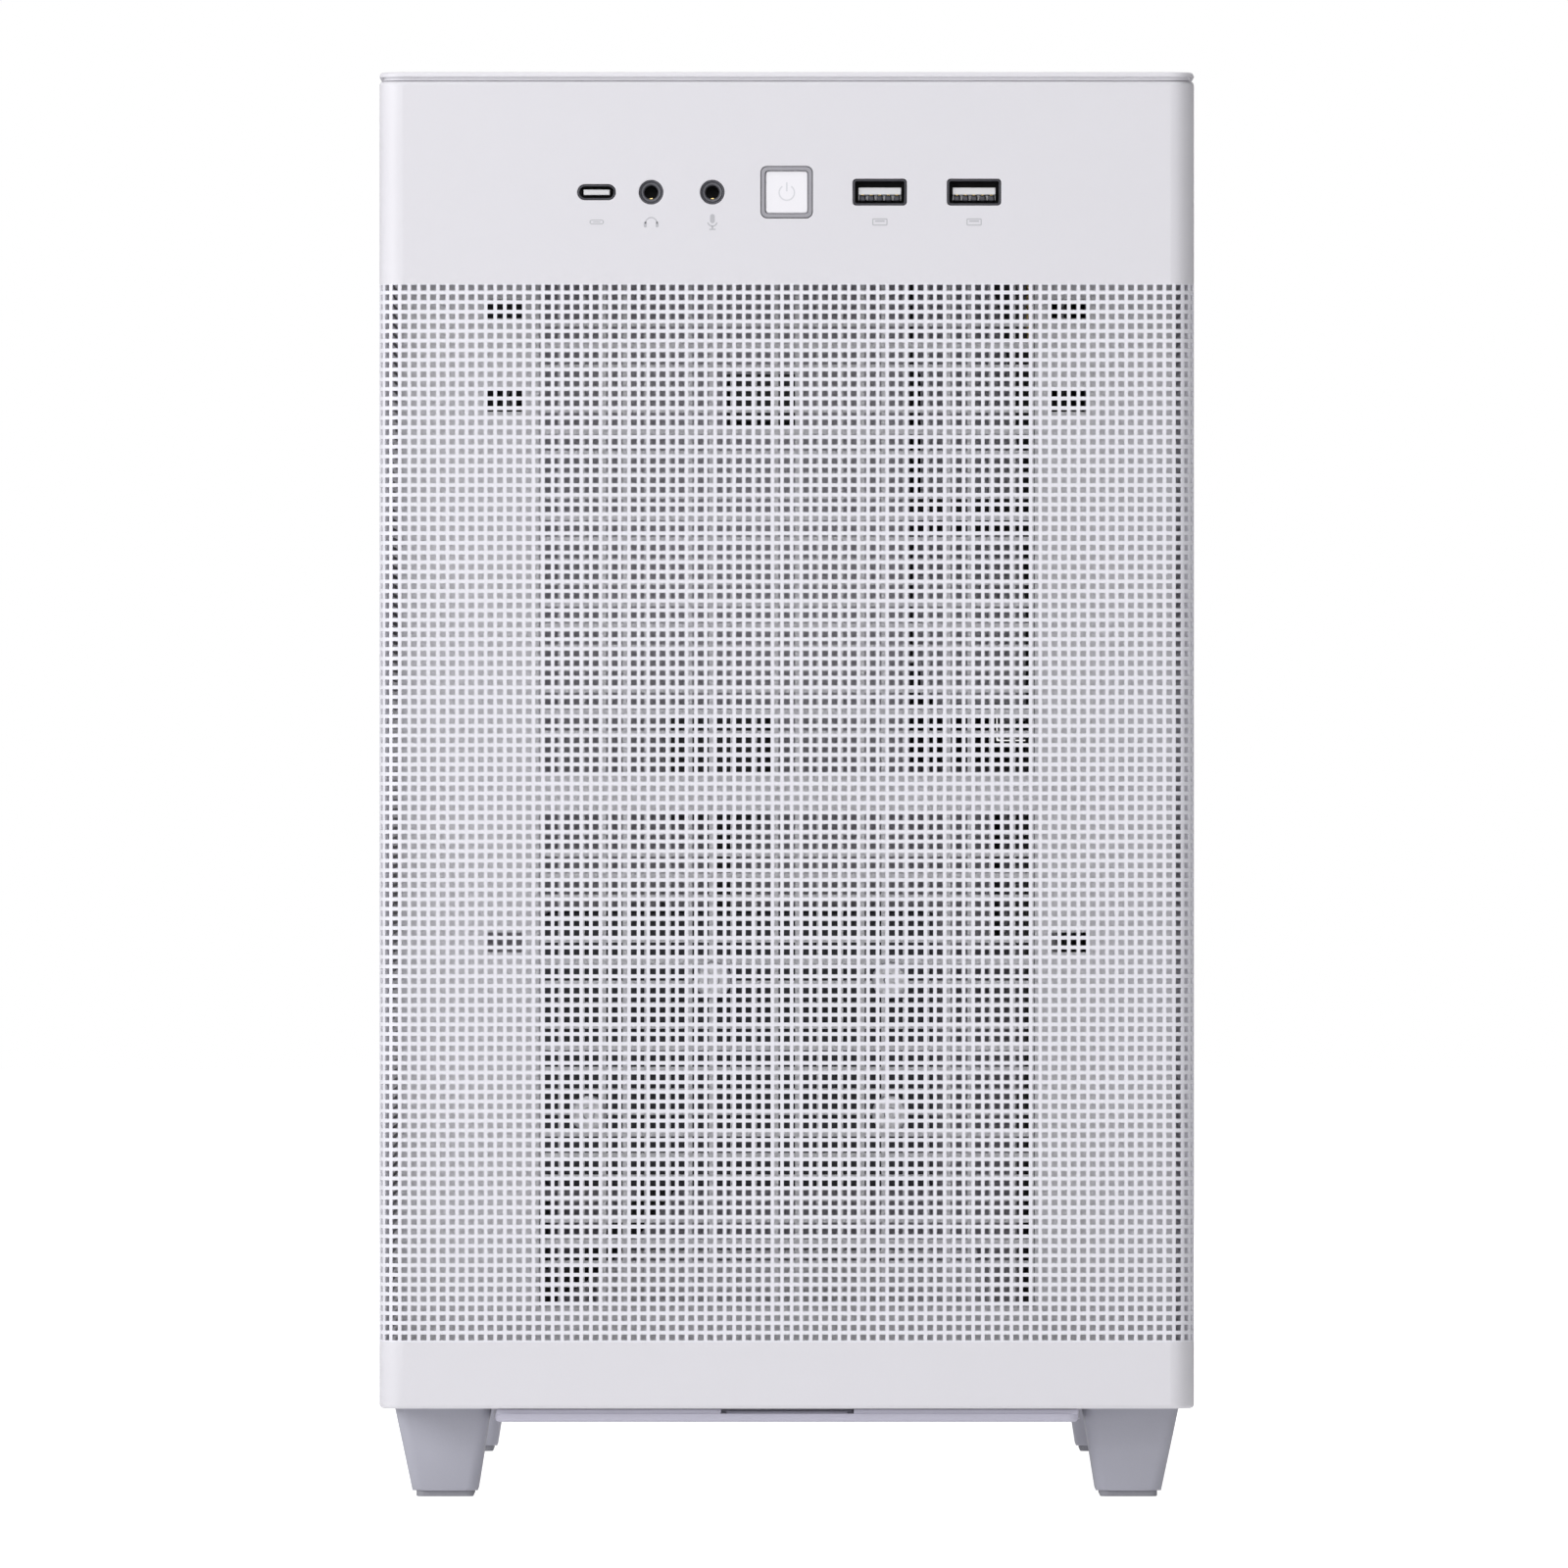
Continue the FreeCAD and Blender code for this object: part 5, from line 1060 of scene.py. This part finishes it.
# rectangles that other pieces of the board take up: low Y, low Z, high Y, high Z
TAKEN = ((43, 195, 66, 339), (78, 129, 171, 138), (78, 169, 171, 179), (100, 232, 160, 298),
         (168, 236, 220, 340), (96, 301, 144, 327), (-14, 110, 36, 158), (70, 196, 154, 222),
         (-25, 226, -10, 282), (158, 236, 168, 320), (48, 96, 77, 107), (143, 309, 167, 340),
         (174, 156, 198, 184), (66, 246, 74, 314), (-25, 148, -12, 178))
SMALL_PARTS, LONG_SIDE, SHORT_SIDE = 420, 2.0, 1.2
random = np.random.default_rng(7)
for index in range(SMALL_PARTS):
    y, z = random.uniform(-22, 214), random.uniform(99, 337)
    wide, tall = (LONG_SIDE, SHORT_SIDE) if random.random() < 0.5 else (SHORT_SIDE, LONG_SIDE)
    if any(a - 1 < y < c + 1 and b - 1 < z < d + 1 for a, b, c, d in TAKEN):
        continue
    small.append(stand("small", y - wide / 2, z - tall / 2, y + wide / 2, z + tall / 2, 0.8, 0.0))
case_part("board_chips", chips, "black_plastic", look="chip")
case_part("board_tins", tins, "bright_steel")
case_part("board_smalls", small, "memory_metal")

# the outline of a memory module's spreader: its reach from its free edge, its height in Z
SPREADER = ((31, 201), (31, 333), (7, 333), (1, 320), (1, 292), (4, 286), (4, 248), (1, 242), (1, 214),
            (7, 201))
modules, golds = [], []
for y in MEMORY_Y:
    for side in (-1, 1):
        place = face_at("y", y + side * 2.4, -side, (BOARD_X - 40, 0, 0))
        grooves = [rectangle(9 + 5 * k, 212, 10.6 + 5 * k, 322, 0.7, 3) for k in range(4)]
        modules.append(plate("spreader", SPREADER, grooves, 1.4, place, 0.3, 2))
    modules.append(block("module_core", (BOARD_X - 37, y - 1.0, 203), (BOARD_X - 9, y + 1.0, 331)))
    golds.append(block("module_edge", (BOARD_X - 9.5, y - 0.6, 203), (BOARD_X - 5, y + 0.6, 331)))
case_part("memory_spreaders", modules, "memory_metal", "memory_modules")
case_part("memory_contacts", golds, "brass", look="gold")

# ---------------------------------------------------------------- rear ports and slots
rear_face = span("rear_ports")[1][1]
SLOT_FACE = guard_y - 1
# each group of ports: its kind, its low and high edges in Z, its width
REAR_PORTS = (("audio", 192, 216, 15), ("network", 224, 240, 28), ("usb", 246, 262, 28),
              ("usb", 268, 284, 15), ("video", 290, 312, 15), ("usb", 318, 334, 15))
RING_PROFILE = ((-0.2, 1.75), (-0.2, 2.4), (0.4, 2.6), (0.4, 3.2), (-0.3, 3.35), (-12, 3.35), (-12, 1.75),
                (-0.2, 1.75))
JACK_OFFSET, JACK_HOLE = 7.5, 3.4
rear_place = face_at("y", rear_face, -1)
shells, tongues, wells, golds, rings, rims = [], [], [], [], [], []
for kind, low_z, high_z, wide in REAR_PORTS:
    gaps = []
    if kind == "audio":
        x = BOARD_X - JACK_OFFSET
        for z in (low_z + 5, high_z - 5):
            gaps.append(ring_points(x, z, JACK_HOLE, 32))
            rings.append(turned("ring", RING_PROFILE, (x, rear_face - 0.6, z), "y", 32))
            wells.append(turned("end", [(-12.5, 1.8), (-11, 1.8)], (x, rear_face, z), "y", 20))
    else:
        middle, half_high = (low_z + high_z) / 2, (high_z - low_z - 3) / 2
        spots = [BOARD_X - 21, BOARD_X - 9.5] if wide > 20 else [BOARD_X - 7.6]
        for x in spots:
            network = kind == "network" and x == spots[0]
            half, pins, pin_pitch = (5.3, 7, 1.1) if network else (2.6, 4, 2.4)
            gaps.append(oblong(x, middle, half, half_high, 0.4, 3))
            wells.append(block("well_painted_shade", (x - half, rear_face - 13, middle - half_high),
                               (x + half, rear_face - 12, middle + half_high)))
            for pin in range(pins):
                z = middle + (pin - (pins - 1) / 2) * pin_pitch
                golds.append(block("pin", (x - half + 0.25, rear_face - 10, z - 0.25),
                                   (x - half + 0.7, rear_face - 1.5, z + 0.25)))
            if not network:
                tongues.append(block("tongue", (x + 0.2, rear_face - 12, middle - half_high + 1.2),
                                     (x + 1.9, rear_face - 1.0, middle + half_high - 1.2), 0.2))
    left, right = BOARD_X - wide, BOARD_X
    shells.append(plate("port", rectangle(left, low_z, right, high_z, 0.8, 4), gaps, 18, rear_place, 0.3, 2))
    rims.append(plate("rim", rectangle(left - 1.8, low_z - 1.8, right + 0.1, high_z + 1.8, 1.2, 4),
                      [rectangle(left - 0.4, low_z - 0.4, right + 0.05, high_z + 0.4, 0.6, 4)], 0.9,
                      face_at("y", guard_y + 0.8, -1), 0.3, 2, 0.0))
case_part("rear_port_shells", shells, "bright_steel", "rear_ports")
case_part("rear_port_tongues", tongues, "black_plastic", look="blue_tongue")
case_part("rear_port_pins", golds, "brass", look="gold")
case_part("rear_port_wells", wells, "black_plastic", look="well_painted_shade")
case_part("rear_audio_rings", rings, "jack_plastic", look="teal_ring")
case_part("rear_port_rims", rims, "dark_metal")

COVER_HALF, SLOT_PLATE = 9.2, 1.0
TAB_FRONT, TAB_BACK = 211, 220.8
slot_place = face_at("y", SLOT_FACE, -1)
covers = []
for level in SLOT_LEVELS[2:]:
    low_z, high_z = level - COVER_HALF, level + COVER_HALF
    covers.append(plate("cover", rectangle(-42, low_z, 68, high_z, 0.5), [], SLOT_PLATE, slot_place, 0.2, 2))
    covers.append(plate("bead", rectangle(-34, level - 3.2, 60, level + 3.2, 3.1), [], 0.5,
                        face_at("y", SLOT_FACE + 0.4, -1), 0.35, 3))
    covers.append(block("tab", (-43, TAB_FRONT, low_z), (-42, TAB_BACK, high_z), 0.2))
case_part("slot_cover_plates", covers, "white_steel", "slot_covers")
low, high = span("card_bracket")
DISPLAY_LEFTS = (-30, -8, 14, 36)
openings = [rectangle(x - 1.5, 169, x + 1.5, 179, 1.45, 4) for x in np.arange(-32, 62, 6.0)]
openings += [rectangle(x + 0.2, 150.9, x + 16.8, 156.7) for x in DISPLAY_LEFTS]
bracket = [plate("bracket", rectangle(low[0] + 1, low[2], high[0], high[2], 0.5, 3), openings, SLOT_PLATE,
                 slot_place, 0.2, 2, 0.12),
           block("tab", (low[0], TAB_FRONT, low[2]), (low[0] + 1, TAB_BACK, high[2]), 0.2)]
case_part("card_bracket_plate", bracket, "bright_steel", "card_bracket")
DISPLAY_OUTLINE = ((0.3, 151.0), (16.7, 151.0), (16.7, 155.2), (15.0, 156.6), (0.3, 156.6))
display_place = face_at("y", SLOT_FACE + 0.6, -1)
display_shells, display_tongues = [], []
for left in DISPLAY_LEFTS:
    outline = [(left + x, z) for x, z in DISPLAY_OUTLINE]
    display_shells.append(plate("display", outline, [inset(outline, 0.5)], 11, display_place, 0.1, 1))
    display_tongues.append(block("tongue", (left + 2.5, TAB_FRONT, 153.2),
                                 (left + 14.5, TAB_BACK - 0.2, 154.4), 0.2))
case_part("display_shells", display_shells, "bright_steel")
case_part("display_tongues", display_tongues, "black_plastic", look="chip")

# ---------------------------------------------------------------- graphics card
low, high = span("card_shroud")
fan_low, fan_high = span("card_fan_rotor")
card_x, card_y = (fan_low[0] + fan_high[0]) / 2, (fan_low[1] + fan_high[1]) / 2
CARD_BORE, CARD_RIBS, SIDE_SLOTS = 42, 5, 8
shroud = [plate("shroud_face", rectangle(low[0], low[1], high[0], high[1], 7),
                [ring_points(card_x, card_y, CARD_BORE, 72)], 3, face_at("z", low[2]), 1.4, 4)]
lip = [(0.6, -0.2), (0.1, 0.6), (0.4, 2.4), (5, 2.4), (5, -0.2), (0.6, -0.2)]
lip = [(offset, CARD_BORE + out) for offset, out in lip]
shroud.append(turned("shroud_lip", lip, (card_x, card_y, low[2]), "z", 72))
for k in range(CARD_RIBS):
    for side in (-1, 1):
        y = card_y + side * (CARD_BORE + 12 + 9 * k)
        shroud.append(block("shroud_rib", (low[0] + 8 + 3 * k, y - 1.2, low[2]),
                            (high[0] - 8 - 3 * k, y + 1.2, low[2] + 2.6), 0.5, 2))
slot_starts = [low[1] + 14 + 25 * k for k in range(SIDE_SLOTS)]
slots = [rectangle(y, low[2] + 14, y + 18, low[2] + 27, 2, 4) for y in slot_starts]
for x, way in ((low[0], 1), (high[0], -1)):
    outline = rectangle(low[1] + 5, low[2] + 2, high[1] - 5, high[2], 1.5)
    shroud.append(plate("shroud_side", outline, slots, 1.6, face_at("x", x, way), 0.5, 3))
for y, way in ((low[1], 1), (high[1], -1)):
    shroud.append(block("shroud_end", (low[0] + 5, y, low[2] + 2),
                        (high[0] - 5, y + way * 1.6, high[2]), 0.5))
case_part("card_cover", shroud, "white_plastic", "card_shroud")
back_low, back_high = span("card_board")
openings = [rectangle(-20 + 9 * k, 150, -15 + 9 * k, 196, 2, 4) for k in range(6)]
openings.append(rectangle(-8, 66, 32, 106, 4))
wear(plate("card_backplate", rectangle(back_low[0], back_low[1], 57, 204, 4), openings, 1.8,
           face_at("z", back_high[2] + 2.4, -1), 0.7, 3), "white_plastic", "case")

# ---------------------------------------------------------------- the tray's trim
tray_face = span("motherboard_tray")[1][0]
on_tray = face_at("x", tray_face + 1.0, -1)
GROMMETS = ((-70, 120, -40, 160), (-70, 240, -40, 280), (20, 60, 60, 80))
BEADS = ((-20, 102, 200, 108), (-20, 326, 70, 332), (-84, 44, -78, 326), (192, 120, 198, 310))
TIE_LOOPS = ((-30, 60), (90, 60), (170, 60), (-30, 330), (0, 200), (120, 200))
RIM = 2.5
grommets = []
for low_y, low_z, high_y, high_z in GROMMETS:
    outline = rectangle(low_y - RIM, low_z - RIM, high_y + RIM, high_z + RIM, 4)
    gap = rectangle(low_y + RIM, low_z + RIM, high_y - RIM, high_z - RIM, 3)
    grommets.append(plate("grommet", outline, [gap], 3.0, on_tray, 0.9, 3))
case_part("tray_grommets", grommets, "black_plastic")
BOSS_PROFILE = ((0, 0), (0, 3.6), (0.9, 2.8), (0.9, 0))
beads = [turned("boss", BOSS_PROFILE, (tray_face, y, z), "x", 24) for y, z in board_spots]
beads += [plate("bead", rectangle(*corners, 2.9), [], 1.0, on_tray, 0.8, 3) for corners in BEADS]
for y, z in TIE_LOOPS:
    bend = ((-0.3, -5), (3.2, -4), (3.8, 0), (3.2, 4), (-0.3, 5))
    beads.append(bar("tie_loop", [(tray_face + out, y, z + rise) for out, rise in bend], 0.9, 8))
case_part("tray_beads", beads, "white_steel")

# ---------------------------------------------------------------- power supply
GUARD_RADII, LEG_RADII = (14, 23, 32, 41, 50, 59), (13, 30, 48, 66)
guard = []
centre = (supply_low + supply_high) / 2
guard_offset = supply_low[0] - 1.4 - centre[0]
for radius in GUARD_RADII:
    circle = [polar(centre, "x", radius, math.pi * k / 32, guard_offset) for k in range(64)]
    guard.append(bar("guard_ring", circle, 0.8, 8, True))
for turn in range(4):
    a = math.radians(45 + 90 * turn)
    leg = [polar(centre, "x", radius, a, guard_offset + 1.0) for radius in LEG_RADII]
    guard.append(bar("guard_leg", leg, 0.9, 8))
case_part("supply_guard", guard, "bright_steel")
supply_back = supply_high[1]
OUTLET, OUTLET_GAP = (8, 5), (6.6, 3.8)
outlets = []
for column, row in [(column, row) for column in range(3) for row in range(4)]:
    x, z = supply_low[0] + 14 + 22 * column, supply_low[2] + 18 + 20 * row
    half_x, half_z = OUTLET_GAP
    outlets.append(plate("outlet", oblong(x, z, *OUTLET, 1), [oblong(x, z, half_x, half_z, 0.4)], 3.2,
                         face_at("y", supply_back + 3.0, -1), 0.3, 2))
    outlets.append(block("outlet_floor", (x - half_x, supply_back + 0.1, z - half_z),
                         (x + half_x, supply_back + 0.6, z + half_z)))
case_part("supply_outlets", outlets, "black_plastic")

# ---------------------------------------------------------------- drives
low, high = span("hard_drive")
disk = [block("disk_body", low, (high[0], high[1], high[2] - 3.0), 1.6, 3)]
near_x, far_x, front, back = low[0] + 3, high[0] - 3, low[1] + 3, high[1] - 4
lid = [(near_x, front), (far_x, front), (far_x, back - 12), (far_x - 9, back), (near_x + 9, back),
       (near_x, back - 12)]
disk.append(plate("disk_lid", lid, [], 3.2, face_at("z", high[2], -1), 0.9, 3))
for x in (low[0] + 7, high[0] - 7):
    for y in (low[1] + 8, (low[1] + high[1]) / 2, high[1] - 20):
        disk.append(screw_head((x, y, high[2] - 0.6), "z", 1, 2.4, 0.6))
case_part("disk_drive", disk, "aluminium", "hard_drive")
low, high = span("solid_state_drive")
outline = rectangle(low[0], low[2], high[0], high[2], 3)
slim = [plate("slim_half", outline, [], 3.4, face_at("y", level, way), 0.8, 3)
        for level, way in ((high[1], -1), (low[1], 1))]
case_part("slim_drive", slim, "dark_metal", "solid_state_drive")

# ---------------------------------------------------------------- processor cooler's trim
low, high = span("cooler_fins")
middle = (low + high) / 2
PIPES = ((-13.5, 30), (-4.5, 40), (4.5, 30), (13.5, 40))
holes = [ring_points(middle[1] + dy, middle[2] + side * dz, 3.2, 20) for dy, dz in PIPES for side in (-1, 1)]
outline = rectangle(low[1], low[2], high[1], high[2], 3)
trim = [plate("fin_cap", outline, holes, 1.0, face_at("x", low[0] - 1.2), 0.3, 2)]
fan_low, fan_high = span("cooler_fan_frame")
clip_front, clip_back = fan_low[1] - 0.7, low[1] + 7
CLIP_IN, CLIP_OUT, CLIP_END = 7, 1.1, 7.5
clips = []
for fan_x, fin_x, way in ((fan_low[0], low[0], -1), (fan_high[0], high[0], 1)):
    hooks = []
    for z, inward in ((fan_high[2] - CLIP_END, -9), (fan_low[2] + CLIP_END, 9)):
        hooks.append([(fan_x - way * CLIP_IN, clip_front + 2, z), (fan_x - way * CLIP_IN, clip_front, z),
                      (fan_x + way * CLIP_OUT, clip_front, z),
                      (fan_x + way * CLIP_OUT, fan_high[1] - 4, z + inward / 3),
                      (fin_x + way * CLIP_OUT, clip_back, z + inward)])
    clips.append(bar("fan_clip", hooks[0] + hooks[1][::-1], 0.7, 8))
case_part("fin_stack_cap", trim, "aluminium")
case_part("fan_clips", clips, "bright_steel")

# ---------------------------------------------------------------- CAD pieces that stay as they are
for node, item in frame["nodes"].items():
    item.data.materials.clear()
    # the chassis front wears the lighter copy of the powder coat, painted light
    item.data.materials.append(MATERIALS["inner_steel" if node == "chassis_front" else slot_of_node[node]])

# ---------------------------------------------------------------- camera, light and floor
CAMERA_DISTANCE, CAMERA_HEIGHT = 5.4755, 0.180
SENSOR_WIDTH, FOCAL_LENGTH = 36.0, 500.0
SKY_STRENGTH, FLOOR_GLOW, FLOOR_GLOW_SEEN = 0.16, 0.55, 0.95
camera = bpy.data.cameras.new("camera")
camera.sensor_width = SENSOR_WIDTH
camera.lens = FOCAL_LENGTH
camera_object = bpy.data.objects.new("camera", camera)
camera_object.location = (-0.0007, front_y * MM - CAMERA_DISTANCE, CAMERA_HEIGHT)
camera_object.rotation_euler = (math.pi / 2, 0, 0)
scene.collection.objects.link(camera_object)
scene.camera = camera_object
scene.view_settings.view_transform = "Standard"

world = bpy.data.worlds.new("studio")
scene.world = world
world.use_nodes = True
tree = world.node_tree
sky = tree.nodes["Background"]
sky.inputs["Color"].default_value = (1.0, 1.0, 1.0, 1)
sky.inputs["Strength"].default_value = SKY_STRENGTH
backdrop = add_node(tree, "Background", {"Color": (1.0, 1.0, 1.0, 1)})
camera_ray = add_node(tree, "LightPath").outputs["Is Camera Ray"]
mix = add_node(tree, "MixShader", None, {"Fac": camera_ray, 1: sky.outputs["Background"],
                                        2: backdrop.outputs["Background"]})
tree.links.new(mix.outputs["Shader"], tree.nodes["World Output"].inputs["Surface"])


def softbox(name, spot, aim, size, power):
    """A rectangular light at a spot, in metres, turned towards an aim."""
    light = bpy.data.lights.new(name, "AREA")
    light.shape = "RECTANGLE"
    light.size, light.size_y = size
    light.energy = power
    holder = bpy.data.objects.new(name, light)
    holder.location = spot
    holder.rotation_euler = (Vector(aim) - Vector(spot)).to_track_quat("-Z", "Y").to_euler()
    scene.collection.objects.link(holder)


AIM, SMALL_BOX, LARGE_BOX = (0, 0, 0.18), (1.0, 1.0), (1.2, 1.2)
softbox("key", (-2.0, -1.7, 1.0), AIM, LARGE_BOX, 37)
softbox("front", (-0.2, -2.7, 0.7), AIM, SMALL_BOX, 14)
softbox("over", (-0.3, -0.6, 2.4), AIM, SMALL_BOX, 27)
softbox("side", (0.9, 3.0, 0.9), AIM, LARGE_BOX, 15)
softbox("rear", (-0.9, 2.5, 1.0), AIM, LARGE_BOX, 6)

floor_build = bmesh.new()
bmesh.ops.create_grid(floor_build, x_segments=1, y_segments=1, size=8)
floor_mesh = bpy.data.meshes.new("floor")
floor_build.to_mesh(floor_mesh)
floor_build.free()
floor = bpy.data.objects.new("floor", floor_mesh)
scene.collection.objects.link(floor)
floor_look = bpy.data.materials.new("pale_floor")
floor_look.use_nodes = True
tree = floor_look.node_tree
floor_shader = tree.nodes["Principled BSDF"]
floor_shader.inputs["Base Color"].default_value = (0.45, 0.45, 0.45, 1)
floor_shader.inputs["Roughness"].default_value = 0.9
floor_shader.inputs["Specular IOR Level"].default_value = 0.1
floor_shader.inputs["Emission Color"].default_value = (1, 1, 1, 1)
camera_ray = add_node(tree, "LightPath").outputs["Is Camera Ray"]
glow = add_node(tree, "MapRange", {"To Min": FLOOR_GLOW, "To Max": FLOOR_GLOW_SEEN}, {"Value": camera_ray})
tree.links.new(glow.outputs["Result"], floor_shader.inputs["Emission Strength"])
floor_mesh.materials.append(floor_look)
